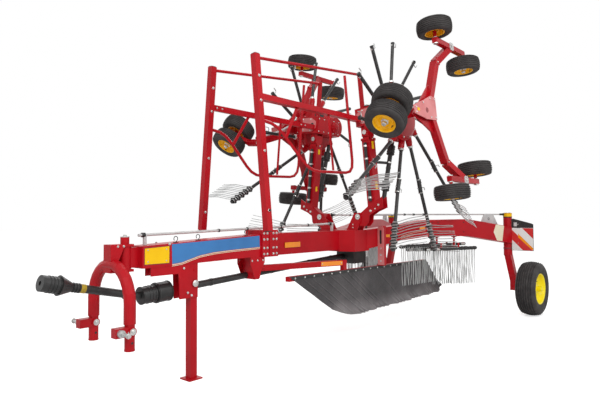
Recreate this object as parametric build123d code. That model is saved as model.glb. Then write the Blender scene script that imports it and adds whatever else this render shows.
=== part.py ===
from build123d import *
import math
import os

# Twin-rotor hay rake, parked on its stand with both rotors folded up.
# Millimetres. X points forward to the drawbar, Y to the left, Z up.
# Places along X are measured from the rear axle. The finished pieces move back
# by ORIGIN_X, so that the origin is on the ground below the machine's middle.
# The left half is modelled, and the right half is its mirror image.

# Rear wheels, on forced-steered knuckles
TYRE_R = 380
TYRE_W = 264
RIM_R = 205
TRACK = 2644
AXLE_R = 30
COLUMN_Y = TRACK / 2 - 332

# Main beam
BEAM_W = 200
BEAM_BOTTOM = 1022
BEAM_TOP = 1245
BEAM_FRONT_X = 5500
BEAM_FRONT_BOTTOM = 1000
BEAM_FRONT_TOP = 1180
CORE_HALF_W = 265

# Drawbar swivel
KINGPIN_X = 5600
HITCH_X = 5715
LINK_Z = 565
PTO_TIP_X = 6267
PTO_TIP_Z = 953

# Lift arms: the hinge lies along X
PIVOT_X = 2730
PIVOT_Y = 289
PIVOT_Z = 1411
BEAM_REAR_X = PIVOT_X + 170

# Rotors: centre and inward lean when folded up
ROTOR_X = 2460
ROTOR_Y = 620
ROTOR_Z = 2590
ROTOR_LEAN = 5.7
ROTOR_R = 1660

# Shared clearances and overlaps
RUN_GAP = 0.3
SLIDE_GAP = 0.4
WELD = 5
SKIN = 8

ORIGIN_X = (PTO_TIP_X - TYRE_R) / 2

lean = math.radians(ROTOR_LEAN)
UNIT = Plane(
    origin=(ROTOR_X, ROTOR_Y, ROTOR_Z),
    x_dir=(1, 0, 0),
    z_dir=(0, -math.cos(lean), -math.sin(lean)),
)


def bar(start, end, width, height=None, up=(0, 0, 1)):
    """A square bar from start to end; height lies along up."""
    first = Vector(*start)
    run = Vector(*end) - first
    side = run.cross(Vector(*up)).normalized()
    section = Plane(first, x_dir=side, z_dir=run) * Rectangle(width, height or width)
    return extrude(section, run.length)


def rod(start, end, radius, sides=0):
    """A round bar, or a prism with the given number of sides."""
    first = Vector(*start)
    run = Vector(*end) - first
    outline = RegularPolygon(radius, sides) if sides else Circle(radius)
    return extrude(Plane(first, z_dir=run) * outline, run.length)


def cone(start, end, r_start, r_end, sides):
    """A taper from start to end with flat sides."""
    first = Vector(*start)
    run = Vector(*end) - first
    return loft(
        [
            Plane(first, z_dir=run) * RegularPolygon(r_start, sides),
            Plane(first + run, z_dir=run) * RegularPolygon(r_end, sides),
        ]
    )


def slab(points, thickness, plane):
    """A plate with a polygon outline, centred on its plane."""
    face = make_face(Polyline(*points, close=True))
    return extrude(plane * face, thickness / 2, both=True)


def fuse(pieces):
    """Join a list of solids into one shape."""
    whole = pieces[0]
    if len(pieces) > 1:
        whole = whole.fuse(*pieces[1:])
    return whole


def ring(profile, sides, plane):
    """A faceted wheel form: a closed profile of (radius, offset) points turned
    round the plane's normal in flat steps."""
    turn = 2 * math.pi / sides
    faces = []
    for step in range(sides):
        here, there = step * turn, (step + 1) * turn
        for (r0, z0), (r1, z1) in zip(profile, profile[1:] + profile[:1]):
            corners = [
                (r0 * math.cos(here), r0 * math.sin(here), z0),
                (r1 * math.cos(here), r1 * math.sin(here), z1),
                (r1 * math.cos(there), r1 * math.sin(there), z1),
                (r0 * math.cos(there), r0 * math.sin(there), z0),
            ]
            faces.append(Face(Wire.make_polygon([Vector(*c) for c in corners])))
    return plane.location * Solid(Shell(faces))


def pipe(points, radius, sides, normal):
    """A faceted tube with mitred corners, along points in a plane with that normal."""
    path = [Vector(*p) for p in points]
    normal = Vector(*normal)
    ways = [(there - here).normalized() for here, there in zip(path, path[1:])]
    rings = []
    for point, before, after in zip(path, ways[:1] + ways, ways + ways[-1:]):
        near, far = normal.cross(before), normal.cross(after)
        mitre = (near + far) * (1 / (1 + near.dot(far)))
        angles = [2 * math.pi * (k + 0.5) / sides for k in range(sides)]
        rings.append(
            [point + mitre * (radius * math.cos(a)) + normal * (radius * math.sin(a)) for a in angles]
        )
    faces = [Face(Wire.make_polygon(rings[0])), Face(Wire.make_polygon(rings[-1]))]
    for here, there in zip(rings, rings[1:]):
        for k in range(sides):
            m = (k + 1) % sides
            faces.append(Face(Wire.make_polygon([here[k], here[m], there[m], there[k]])))
    return Solid(Shell(faces))


def bend(points, setback, steps):
    """The same line with each inner corner rounded, from setback before it to
    setback after it."""
    path = [Vector(*p) for p in points]
    line = [path[0]]
    for before, corner, after in zip(path, path[1:], path[2:]):
        into = corner - (corner - before).normalized() * setback
        out = corner + (after - corner).normalized() * setback
        for step in range(steps + 1):
            share = step / steps
            line.append(
                into * (1 - share) ** 2 + corner * (2 * share * (1 - share)) + out * share ** 2
            )
    return [tuple(p) for p in line + [path[-1]]]


def save(name, shape):
    """Write one piece, moved to the part's origin."""
    export_step(Pos(-ORIGIN_X, 0, 0) * shape, "parts/" + name + ".step")


def save_pair(name, left):
    """Write the left piece and its mirror image."""
    save(name + "_left", left)
    save(name + "_right", mirror(left, about=Plane.XZ))


# Wheels
WHEEL_SIDES = 20
SMALL_SIDES = 16
SMALL_R = 205
SMALL_W = 166
SMALL_RIM_R = 108
SMALL_AXLE_R = 20
HUB_WALL = 14
DISC_T = 12
# Where a rim's disc sits, as a share of the half width outboard
DISH_SHARE = 0.3
REAR_DISH_SHARE = 0.2
# Tyre section, as shares of radius height over the rim and of half width
TYRE_SHARES = [
    (0.0, -0.72), (0.36, -1.0), (0.80, -0.95), (1.0, -0.55),
    (1.0, 0.55), (0.80, 0.95), (0.36, 1.0), (0.0, 0.72),
]


def tyre(radius, width, rim_r, sides, plane):
    """The rubber, seated on the rim's outer facets."""
    height = radius - rim_r
    profile = [(rim_r + up * height, side * width / 2) for up, side in TYRE_SHARES]
    return ring(profile, sides, plane)


def rim(rim_r, width, axle_r, dish_share, sides, plane):
    """A dished rim with its disc and a hub bored for the axle."""
    bore = (axle_r + RUN_GAP) / math.cos(math.pi / sides)
    seat = TYRE_SHARES[-1][1] * width / 2
    hub_r = bore + HUB_WALL
    disc = dish_share * width / 2
    profile = [
        (rim_r, -seat), (rim_r, seat), (rim_r - DISC_T, seat),
        (rim_r - DISC_T * 2, disc), (hub_r, disc), (hub_r, seat),
        (bore, seat), (bore, -seat), (hub_r, -seat), (hub_r, disc - DISC_T),
        (rim_r - DISC_T * 2, disc - DISC_T), (rim_r - DISC_T, -seat),
    ]
    return ring(profile, sides, plane)


def axle_plane(x, y, z, outward=1):
    """A plane whose normal is the wheel's axle, pointing outboard."""
    return Plane(origin=(x, y, z), x_dir=(1, 0, 0), z_dir=(0, outward, 0))


def rear_wheels():
    at = axle_plane(0, TRACK / 2, TYRE_R)
    save_pair("rear_tyre", tyre(TYRE_R, TYRE_W, RIM_R, WHEEL_SIDES, at))
    save_pair("rear_rim", rim(RIM_R, TYRE_W, AXLE_R, REAR_DISH_SHARE, WHEEL_SIDES, at))


# Steering knuckles
KNUCKLE_W = 90
COLUMN_BOTTOM = 926
COLUMN_R = 60


def knuckles():
    top = COLUMN_BOTTOM - RUN_GAP
    drop = (0, COLUMN_Y, top - KNUCKLE_W * 0.6)
    elbow = (0, COLUMN_Y + KNUCKLE_W * 0.9, TYRE_R + KNUCKLE_W)
    inner = TRACK / 2 - TYRE_W / 2
    axle_start = (0, elbow[1] - KNUCKLE_W / 3, TYRE_R)
    axle_end = (0, TRACK / 2 + TYRE_W / 2, TYRE_R)
    flange = (0, inner + SKIN, TYRE_R)
    leg = fuse(
        [
            rod((0, COLUMN_Y, top - KNUCKLE_W), (0, COLUMN_Y, top), COLUMN_R),
            bar(drop, elbow, KNUCKLE_W, KNUCKLE_W, (1, 0, 0)),
            bar(elbow, (0, elbow[1], TYRE_R - KNUCKLE_W / 2), KNUCKLE_W, KNUCKLE_W, (1, 0, 0)),
            rod(axle_start, axle_end, AXLE_R),
            rod(axle_start, flange, AXLE_R * 1.7),
        ]
    )
    save_pair("knuckle", leg)


# Main beam, from its swivel nose to the rear wedge
NOSE_R = 50
NOSE_BOTTOM = 1000
NOSE_TOP = 1180
FLANGE_X = 4075
FLANGE_L = 220
FLANGE_W = 250
FLANGE_BOTTOM = 1015
FLANGE_TOP = 1282
REAR_BEAM_W = 180
STAND_X = 4985
STAND_Y = 50
STAND_PIVOT_Z = 950
STAND_PLATE_T = 10
PLATE_FRONT_X = 5420
PLATE_BOTTOM = 712
PLATE_STEP_X = 5150
PLATE_STEP_Z = 930


def stand_cheek(y):
    """A cheek plate below the beam, beside the stand."""
    outline = [
        (PLATE_FRONT_X, BEAM_BOTTOM + WELD),
        (PLATE_FRONT_X, PLATE_STEP_Z),
        (PLATE_STEP_X, PLATE_STEP_Z),
        (PLATE_STEP_X - STAND_PLATE_T, PLATE_BOTTOM),
        (STAND_X - STAND_W / 2, PLATE_BOTTOM),
        (STAND_X - STAND_W / 2, BEAM_BOTTOM + WELD),
    ]
    face_down = Plane(origin=(0, y, 0), x_dir=(1, 0, 0), z_dir=(0, -1, 0))
    return slab(outline, STAND_PLATE_T, face_down)


def beam_top(x):
    """The height of the front beam's sloping top at a place along it."""
    share = (x - FLANGE_X) / (BEAM_FRONT_X - FLANGE_X)
    return BEAM_TOP + (BEAM_FRONT_TOP - BEAM_TOP) * share


def main_beam():
    nose = rod((KINGPIN_X, 0, NOSE_BOTTOM), (KINGPIN_X, 0, NOSE_TOP), NOSE_R)
    middle = (BEAM_BOTTOM + BEAM_TOP) / 2
    height = BEAM_TOP - BEAM_BOTTOM
    side_view = Plane(origin=(0, 0, 0), x_dir=(1, 0, 0), z_dir=(0, -1, 0))
    front = slab(
        [
            (FLANGE_X, BEAM_BOTTOM), (HANGER_X + CURTAIN_ARM_W, BEAM_BOTTOM), (BEAM_FRONT_X, BEAM_FRONT_BOTTOM),
            (BEAM_FRONT_X, BEAM_FRONT_TOP), (FLANGE_X, BEAM_TOP),
        ],
        BEAM_W, side_view,
    )
    neck_z = (NOSE_BOTTOM + NOSE_TOP) / 2
    neck_h = (NOSE_TOP - NOSE_BOTTOM) * 0.9
    neck = bar((BEAM_FRONT_X - WELD, 0, neck_z), (KINGPIN_X, 0, neck_z), NOSE_R * 1.6, neck_h)
    rear = bar((BEAM_REAR_X, 0, middle), (FLANGE_X, 0, middle), REAR_BEAM_W, height)
    flange_z = (FLANGE_BOTTOM + FLANGE_TOP) / 2
    flange = bar(
        (FLANGE_X - FLANGE_L / 2, 0, flange_z),
        (FLANGE_X + FLANGE_L / 2, 0, flange_z),
        FLANGE_W,
        FLANGE_TOP - FLANGE_BOTTOM,
    )
    spread = STAND_W / 2 + RUN_GAP + STAND_PLATE_T / 2
    near = stand_cheek(STAND_Y + spread)
    far = stand_cheek(STAND_Y - spread)
    pin_start = (STAND_X, STAND_Y - spread, STAND_PIVOT_Z)
    pin_end = (STAND_X, STAND_Y + spread + STAND_PLATE_T, STAND_PIVOT_Z)
    pin = rod(pin_start, pin_end, STAND_PIN_R)
    save("main_beam", fuse([front, neck, nose, rear, flange, near, far, pin]))


# Centre frame: the wedge behind the beam and the lift arm lugs
CORE_REAR_X = 2540
CORE_BOTTOM = 1005
CORE_TOP = 1255
LUG_T = 16
LUG_R = 55
PIN_R = 24
EYE_L = 100


def core():
    """The wedge that joins the beam to both rear arms."""
    half = REAR_BEAM_W / 2
    flare_x = PIVOT_X + EYE_L
    outline = [
        (BEAM_REAR_X, -half), (BEAM_REAR_X, half), (flare_x, CORE_HALF_W),
        (CORE_REAR_X, CORE_HALF_W), (CORE_REAR_X, -CORE_HALF_W), (flare_x, -CORE_HALF_W),
    ]
    face = make_face(Polyline(*outline, close=True))
    return extrude(Plane.XY.offset(CORE_BOTTOM) * face, CORE_TOP - CORE_BOTTOM)


def centre_frame():
    pieces = [core()]
    for side in (1, -1):
        y = PIVOT_Y * side
        for x in (PIVOT_X - EYE_L / 2 - LUG_T / 2, PIVOT_X + EYE_L / 2 + LUG_T / 2):
            plane = Plane(origin=(x, 0, 0), x_dir=(0, 1, 0), z_dir=(1, 0, 0))
            lug = [
                (side * CORE_HALF_W * 0.45, CORE_TOP - WELD),
                (side * CORE_HALF_W, CORE_TOP - WELD),
                (y + side * LUG_R * 0.6, PIVOT_Z - LUG_R * 0.8),
                (y + side * LUG_R * 0.6, PIVOT_Z + LUG_R * 0.8),
                (y - side * LUG_R, PIVOT_Z + LUG_R * 0.8),
            ]
            pieces.append(slab(lug, LUG_T, plane))
        reach = EYE_L / 2 + LUG_T * 1.5
        pieces.append(rod((PIVOT_X - reach, y, PIVOT_Z), (PIVOT_X + reach, y, PIVOT_Z), PIN_R))
    save("centre_frame", fuse(pieces))


# Rear arms, arched boxes from the wedge out to the steering columns
ARM_W = 160
# Plan share from wedge to column, then bottom and top heights
ARM_STATIONS = [
    (0.0, 1025, 1255), (0.2, 1110, 1305), (0.36, 1150, 1365), (0.65, 1140, 1372), (1.0, 1015, 1250),
]
ARM_ROOT_X = 2560
ARM_ROOT_Y = 190
CAP_TOP = 1456


def rear_arm():
    """The left rear arm with its steering column."""
    root = Vector(ARM_ROOT_X, ARM_ROOT_Y, 0)
    run = Vector(0, COLUMN_Y, 0) - root
    tops = [(share * run.length, top) for share, bottom, top in ARM_STATIONS]
    bottoms = [(share * run.length, bottom) for share, bottom, top in ARM_STATIONS]
    side_plane = Plane(origin=root, x_dir=run, z_dir=run.cross(Vector(0, 0, 1)))
    arm = slab(tops + bottoms[::-1], ARM_W, side_plane)
    column = rod((0, COLUMN_Y, COLUMN_BOTTOM), (0, COLUMN_Y, CAP_TOP), COLUMN_R)
    return fuse([arm - core(), column])


# Parking stand
STAND_W = 70
STAND_PIN_R = 12
FOOT_W = 140
FOOT_T = 12


def parking_stand():
    top = (STAND_X, STAND_Y, STAND_PIVOT_Z + STAND_W / 2)
    leg = bar(top, (STAND_X, STAND_Y, FOOT_T / 2), STAND_W, STAND_W, (1, 0, 0))
    foot = bar((STAND_X, STAND_Y, 0), (STAND_X, STAND_Y, FOOT_T), FOOT_W, FOOT_W, (1, 0, 0))
    start = (STAND_X, STAND_Y - STAND_W, STAND_PIVOT_Z)
    end = (STAND_X, STAND_Y + STAND_W, STAND_PIVOT_Z)
    hole = rod(start, end, STAND_PIN_R + RUN_GAP)
    save("parking_stand", fuse([leg, foot]) - hole)


# Headstock: arch tube, swivel lugs, link brackets and pins
ARCH_R = 278
ARCH_TUBE_R = 45
ARCH_STEPS = 14
ARCH_SIDES = 16
ARCH_CENTRE_Z = 770
ARCH_LEG_BOTTOM = 417
SHIN_TUBE_R = 38
SHIN_TOP = 620
KING_LUG_T = 20
KING_LUG_W = 110
KING_POST_TOP = 1255
BOSS_R = 32
BOSS_L = 96
BRACKET_W = 70
BRACKET_REACH = 130
LINK_PIN_R = 14
LINK_SHOULDER = 341.5
LINK_PIN_L = 100


def headstock():
    arch = [(0, ARCH_R, SHIN_TOP - WELD)]
    for step in range(ARCH_STEPS + 1):
        angle = math.pi * step / ARCH_STEPS
        arch.append((0, ARCH_R * math.cos(angle), ARCH_CENTRE_Z + ARCH_R * math.sin(angle)))
    arch.append((0, -ARCH_R, SHIN_TOP - WELD))
    pieces = [Pos(HITCH_X, 0, 0) * pipe(arch, ARCH_TUBE_R, ARCH_SIDES, (1, 0, 0))]
    lug_zs = (NOSE_BOTTOM - RUN_GAP - KING_LUG_T / 2, NOSE_TOP + RUN_GAP + KING_LUG_T / 2)
    for z in lug_zs:
        front = (HITCH_X + ARCH_TUBE_R * 0.5, 0, z)
        pieces.append(bar((KINGPIN_X - NOSE_R, 0, z), front, KING_LUG_W, KING_LUG_T))
    tower_x = HITCH_X + ARCH_TUBE_R * 0.1
    tower_top = lug_zs[1] + KING_LUG_T / 2
    tower = bar(
        (tower_x, 0, lug_zs[0] - KING_LUG_T / 2), (tower_x, 0, tower_top),
        ARCH_TUBE_R * 1.4, KING_LUG_W, (0, 1, 0),
    )
    post = rod((KINGPIN_X, 0, tower_top - WELD), (KINGPIN_X, 0, KING_POST_TOP), NOSE_R * 0.7, BELL_SIDES)
    pieces += [tower, post]
    gusset = [(KINGPIN_X + NOSE_R * 0.5, tower_top), (tower_x, tower_top), (tower_x, lug_zs[0])]
    for side in (1, -1):
        facing = Plane(origin=(0, side * (KING_LUG_W - SKIN) / 2, 0), x_dir=(1, 0, 0), z_dir=(0, -1, 0))
        pieces.append(slab(gusset, SKIN, facing))
    for side in (1, -1):
        y = ARCH_R * side
        pieces.append(rod((HITCH_X, y, ARCH_LEG_BOTTOM), (HITCH_X, y, SHIN_TOP), SHIN_TUBE_R))
        tip = (HITCH_X + BRACKET_REACH, y, LINK_Z)
        pieces.append(bar((HITCH_X, y, LINK_Z), tip, BRACKET_W, BRACKET_W))
        boss_ends = [(HITCH_X, y + end * BOSS_L / 2, LINK_Z) for end in (-1, 1)]
        pieces.append(rod(boss_ends[0], boss_ends[1], BOSS_R, BELL_SIDES))
    save("headstock", fuse(pieces))
    pins = []
    pin_x = HITCH_X + BRACKET_REACH - BRACKET_W / 2
    for side in (1, -1):
        inner = side * (ARCH_R + BRACKET_W / 2)
        shoulder = side * LINK_SHOULDER
        pins.append(
            fuse([
                rod((pin_x, inner, LINK_Z), (pin_x, shoulder, LINK_Z), LINK_PIN_R * 2),
                rod(
                    (pin_x, inner, LINK_Z),
                    (pin_x, shoulder + side * LINK_PIN_L, LINK_Z),
                    LINK_PIN_R,
                ),
            ])
        )
    save("link_pins", Compound(pins))


# Drive line under the beam and the tractor shaft in front
DRIVE_Y = -38
DRIVE_FRONT_X = 5440
DRIVE_FRONT_Z = 763
DRIVE_REAR_X = 2668
DRIVE_REAR_Z = 933
DRIVE_R = 32
SHAFT_R = 32
CUP_R = 85
YOKE_BORE_R = 17.5
YOKE_BORE_L = 75
BELL_SIDES = 24


def drive_point(x):
    """The drive line's axis at a place along the machine."""
    slope = (DRIVE_REAR_Z - DRIVE_FRONT_Z) / (DRIVE_REAR_X - DRIVE_FRONT_X)
    return (x, DRIVE_Y, DRIVE_FRONT_Z + slope * (x - DRIVE_FRONT_X))


def drive_line():
    cup_x = DRIVE_FRONT_X - CUP_R * 1.6
    bell_x = DRIVE_FRONT_X - CUP_R * 3.2
    case_l = CUP_R * 3
    case_bottom = DRIVE_REAR_Z - CUP_R
    case_top = CORE_BOTTOM - RUN_GAP
    case = Pos(DRIVE_REAR_X - case_l / 2, 0, (case_top + case_bottom) / 2) * Box(
        case_l, case_l, case_top - case_bottom
    )
    pieces = [
        rod(drive_point(cup_x), drive_point(DRIVE_REAR_X - WELD), DRIVE_R),
        rod(drive_point(bell_x), drive_point(cup_x), CUP_R, BELL_SIDES),
        rod(drive_point(cup_x - WELD), drive_point(DRIVE_FRONT_X), CUP_R * 0.85, BELL_SIDES),
        case,
    ]
    save("drive_line", fuse(pieces))


def tractor_shaft():
    end = Vector(PTO_TIP_X, 0, PTO_TIP_Z)
    rear = Vector(*drive_point(DRIVE_FRONT_X))
    way = (end - rear).normalized()
    bend_angle = math.radians(way.get_angle(rear - Vector(*drive_point(DRIVE_REAR_X))))
    start = rear + way * (SHAFT_R * math.tan(bend_angle) + RUN_GAP)
    bell = end - way * YOKE_BORE_L * 2
    neck = end - way * YOKE_BORE_L * 3.4
    face = end - way * CUP_R * 0.7 * way.Z
    pieces = [
        rod(start, neck + way * WELD, SHAFT_R),
        cone(neck, bell, SHAFT_R, CUP_R * 0.9, BELL_SIDES),
        rod(bell - way, face, CUP_R * 0.7),
    ]
    bore = rod(face - way * YOKE_BORE_L, face + way * YOKE_BORE_L, YOKE_BORE_R)
    save("tractor_shaft", fuse(pieces) - bore)


# Swath curtain and its arm
CURTAIN_Y = 330
CURTAIN_T = 8
CURTAIN_FRONT_X = 4020
CURTAIN_REAR_X = 1260
CURTAIN_TOP = 820
CURTAIN_BOTTOM = 300
HANGER_X = 4230
HANGER_BOTTOM = 800
CURTAIN_ARM_W = 60
CURTAIN_ARM_Z = 900
CURTAIN_ELBOW_X = 3100
CURTAIN_RAIL_W = 48
CURTAIN_PLATE_X = 2380
CURTAIN_PLATE_Y = 366
CURTAIN_PLATE_W = 90
CURTAIN_PLATE_T = 20
CURTAIN_PLATE_TOP = 1300


def curtain():
    plane = Plane(origin=(0, CURTAIN_Y, 0), x_dir=(1, 0, 0), z_dir=(0, -1, 0))
    span = CURTAIN_FRONT_X - CURTAIN_REAR_X
    drop = CURTAIN_TOP - CURTAIN_BOTTOM
    outline = [
        (CURTAIN_FRONT_X, CURTAIN_TOP),
        (CURTAIN_REAR_X, CURTAIN_TOP),
        (CURTAIN_REAR_X - span * 0.17, CURTAIN_BOTTOM + drop * 0.1),
        (CURTAIN_FRONT_X - span * 0.31, CURTAIN_BOTTOM),
    ]
    save("curtain", slab(outline, CURTAIN_T, plane))


def curtain_arm():
    inner = CURTAIN_Y - CURTAIN_T / 2 - RUN_GAP - CURTAIN_RAIL_W / 2
    half = CURTAIN_ARM_W / 2
    rail_z = CURTAIN_TOP - CURTAIN_RAIL_W / 2
    hanger = bar(
        (HANGER_X, 0, BEAM_BOTTOM - RUN_GAP), (HANGER_X, 0, HANGER_BOTTOM),
        REAR_BEAM_W, CURTAIN_ARM_W, (1, 0, 0),
    )
    tunnel = rod(
        drive_point(HANGER_X - CURTAIN_ARM_W), drive_point(HANGER_X + CURTAIN_ARM_W), DRIVE_R + RUN_GAP,
    )
    boom = bar((HANGER_X, 0, CURTAIN_ARM_Z), (CURTAIN_ELBOW_X, inner, CURTAIN_ARM_Z), CURTAIN_ARM_W)
    drop = bar(
        (CURTAIN_ELBOW_X, inner, CURTAIN_ARM_Z + half), (CURTAIN_ELBOW_X, inner, rail_z),
        CURTAIN_RAIL_W, CURTAIN_ARM_W, (1, 0, 0),
    )
    rail = bar((CURTAIN_REAR_X, inner, rail_z), (CURTAIN_FRONT_X, inner, rail_z), CURTAIN_RAIL_W)
    foot_z = CURTAIN_TOP + CURTAIN_PLATE_T / 2
    foot = bar(
        (CURTAIN_PLATE_X, inner, foot_z),
        (CURTAIN_PLATE_X, CURTAIN_PLATE_Y, foot_z),
        CURTAIN_PLATE_W,
        CURTAIN_PLATE_T,
    )
    plate = bar(
        (CURTAIN_PLATE_X, CURTAIN_PLATE_Y, CURTAIN_TOP),
        (CURTAIN_PLATE_X, CURTAIN_PLATE_Y, CURTAIN_PLATE_TOP),
        CURTAIN_PLATE_T,
        CURTAIN_PLATE_W,
        (1, 0, 0),
    )
    save("curtain_arm", fuse([hanger, boom, drop, rail, foot, plate]) - tunnel)


# Tine arms
ARM_COUNT = 11
ARM_ROOT_ANGLE = -56
ARM_ROOT_R = 380
ARM_TUBE_R = 20
ARM_OFFSET = 150
OUTER_ARM_L = 800
STUB_END = ROTOR_R - OUTER_ARM_L
TINE_L = 490
TINE_T = 9
TINE_UNITS = 5
TINE_INNER_R = 1345
TINE_SIDE = 34
# Half the length of a coil block, as a share of the space between its tines
COIL_SHARE = 0.7
# The arms that still carry tines, each with the angle that the cam turns them by
FULL_ARMS = {0: 0, 10: 12, 9: 28, 8: 46}
CAM_R = 300
CAM_TOP = 60
CAM_BOTTOM = -90
ARM_DROOP = 90
CAM_ARM_Z = -20


def tine_arm(start_s, full, cam_turn):
    """One arm along +X, from start_s to its end; the tines hang, turned about the arm."""
    tip = ROTOR_R - TINE_SIDE / 2
    end = tip if full else STUB_END
    slope = -ARM_DROOP / (tip - CAM_R)

    def at(s):
        return (s, -ARM_OFFSET, CAM_ARM_Z + slope * (s - CAM_R))

    reach = Vector(0, math.sin(math.radians(cam_turn)), -math.cos(math.radians(cam_turn))) * TINE_L
    pieces = [rod(at(start_s), at(end), ARM_TUBE_R, 6)]
    if full:
        pitch = (tip - TINE_SIDE - TINE_INNER_R) / (TINE_UNITS - 1)
        for unit in range(TINE_UNITS):
            s = TINE_INNER_R + unit * pitch
            x, y, z = at(s)
            block = TINE_SIDE * COIL_SHARE
            pieces.append(bar((x - block, y, z), (x + block, y, z), ARM_TUBE_R * 3))
            for side in (-1, 1):
                root = Vector(x + side * TINE_SIDE / 2, y, z)
                pieces.append(bar(tuple(root), tuple(root + reach), TINE_T, TINE_T, (1, 0, 0)))
    return fuse(pieces)


def rotor():
    cam = [rod((0, 0, CAM_BOTTOM), (0, 0, CAM_TOP), CAM_R)]
    step = 360 / ARM_COUNT
    swing = math.degrees(math.asin(ARM_OFFSET / ARM_ROOT_R))
    start = CAM_R * 0.7
    for index in range(ARM_COUNT):
        whole = index in FULL_ARMS
        arm = tine_arm(start, whole, FULL_ARMS.get(index, 0))
        cam.append(Rot(0, 0, ARM_ROOT_ANGLE + swing + index * step) * arm)
    hub = fuse(cam)
    hub = hub - rod((0, 0, CAM_BOTTOM * 2), (0, 0, CAM_TOP * 2), MAST_R + RUN_GAP)
    save_pair("rotor", UNIT.location * hub)


# Rotor head, running gear and guard frame, modelled level and then leaned
MAST_R = 55
HEAD_W = 300
HEAD_BOTTOM = 64
HEAD_TOP = 330
HEAD_FRONT_X = 375
HEAD_REAR_X = -75
LEG_W = 80
LEG_Z = -400
BOGIE_Y = 810
BOGIE_Z = -500
BOGIE_W = 60
WHEEL_OFFSET = 155
BOGIE_FRONT_X = -180
BOGIE_REAR_X = -870
CASTOR_X = 896
CASTOR_Y = -281
CASTOR_PIN_R = 22
CASTOR_TURN = 38
CASTOR_TRAIL = 130
CASTOR_GAUGE = 235
CASTOR_ARM_Z = -220
KINK_SHARE = 0.5
SWIVEL_L = 120
TILT_Y = -175
TILT_PIN_R = 20


def head_case():
    """The gearbox and its dome above the cam."""
    middle = (HEAD_BOTTOM + HEAD_TOP) / 2
    case = Pos((HEAD_FRONT_X + HEAD_REAR_X) / 2, 0, middle) * Box(
        HEAD_FRONT_X - HEAD_REAR_X, HEAD_W * 0.7, HEAD_TOP - HEAD_BOTTOM
    )
    dome = cone((0, 0, HEAD_BOTTOM), (0, 0, HEAD_TOP), CAM_R * 0.85, CAM_R * 0.45, BELL_SIDES)
    return case + (dome - Pos(0, -HEAD_W * 0.85, middle) * Box(HEAD_W * 4, HEAD_W, HEAD_W * 2))


def rotor_head():
    mast = rod((0, 0, LEG_Z - LEG_W / 2), (0, 0, HEAD_TOP - WELD), MAST_R)
    pieces = [mast, head_case()]
    elbow_x = BOGIE_FRONT_X - LEG_W * 1.5
    bogie_x = (BOGIE_FRONT_X + BOGIE_REAR_X) / 2
    for side in (1, -1):
        root = (0, 0, LEG_Z)
        elbow = (elbow_x, side * BOGIE_Y * 0.74, LEG_Z)
        end = (bogie_x, side * BOGIE_Y, BOGIE_Z)
        pieces += [
            bar(root, elbow, LEG_W), bar(elbow, end, LEG_W),
            bar(
                (BOGIE_REAR_X - BOGIE_W / 2, side * BOGIE_Y, BOGIE_Z),
                (BOGIE_FRONT_X + BOGIE_W / 2, side * BOGIE_Y, BOGIE_Z),
                BOGIE_W,
            ),
        ]
        for x, way in ((BOGIE_FRONT_X, 1), (BOGIE_REAR_X, -1)):
            far = side * (BOGIE_Y + way * (WHEEL_OFFSET + SMALL_W * 0.45))
            pieces.append(rod((x, side * BOGIE_Y, BOGIE_Z), (x, far, BOGIE_Z), SMALL_AXLE_R))
    castor_end = (CASTOR_X, CASTOR_Y, CASTOR_ARM_Z)
    castor_kink = (CASTOR_X * KINK_SHARE, CASTOR_Y * KINK_SHARE, CASTOR_ARM_Z - WELD)
    pieces += [bar((0, 0, LEG_Z), castor_kink, LEG_W), bar(castor_kink, castor_end, LEG_W)]
    pieces.append(rod(
        (castor_kink[0], castor_kink[1] - LEG_W / 2, castor_kink[2]),
        (castor_kink[0], castor_kink[1] + LEG_W / 2, castor_kink[2]),
        LEG_W / 2, HOOP_SIDES,
    ))
    swivel_low = (CASTOR_X, CASTOR_Y, CASTOR_ARM_Z - SWIVEL_L / 2)
    swivel_top = (CASTOR_X, CASTOR_Y, CASTOR_ARM_Z + SWIVEL_L / 2)
    pieces.append(rod(swivel_low, swivel_top, CASTOR_PIN_R * 2))
    for side in (1, -1):
        x = SLEEVE_X + side * (INNER_W / 2 + RUN_GAP + LUG_T / 2)
        lug_start = (x, -HEAD_W * 0.35 + WELD, SLEEVE_Z)
        lug_end = (x, TILT_Y - INNER_W / 2, SLEEVE_Z)
        pieces.append(bar(lug_start, lug_end, LUG_T, INNER_W))
    reach = INNER_W / 2 + LUG_T * 1.5
    pin_ends = [(SLEEVE_X + side * reach, TILT_Y, SLEEVE_Z) for side in (1, -1)]
    pieces.append(rod(pin_ends[0], pin_ends[1], TILT_PIN_R))
    gusset = [
        (elbow_x * 0.2, BOGIE_Y * 0.35), (elbow_x * 0.2, -BOGIE_Y * 0.35), (CASTOR_X * 0.4, CASTOR_Y * 0.4),
    ]
    pieces.append(slab(gusset, SKIN * 2, Plane(origin=(0, 0, LEG_Z))))
    frame = fuse(pieces)
    save_pair("rotor_head", UNIT.location * frame)


def bogie_wheels():
    for name, x, way in (("front", BOGIE_FRONT_X, 1), ("rear", BOGIE_REAR_X, -1)):
        for place, side in (("outer", 1), ("inner", -1)):
            at = axle_plane(x, side * (BOGIE_Y + way * WHEEL_OFFSET), BOGIE_Z, side * way)
            wheel = name + "_" + place
            rubber = tyre(SMALL_R, SMALL_W, SMALL_RIM_R, SMALL_SIDES, at)
            dish = rim(SMALL_RIM_R, SMALL_W, SMALL_AXLE_R, DISH_SHARE, SMALL_SIDES, at)
            save_pair(wheel + "_tyre", UNIT.location * rubber)
            save_pair(wheel + "_rim", UNIT.location * dish)


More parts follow.
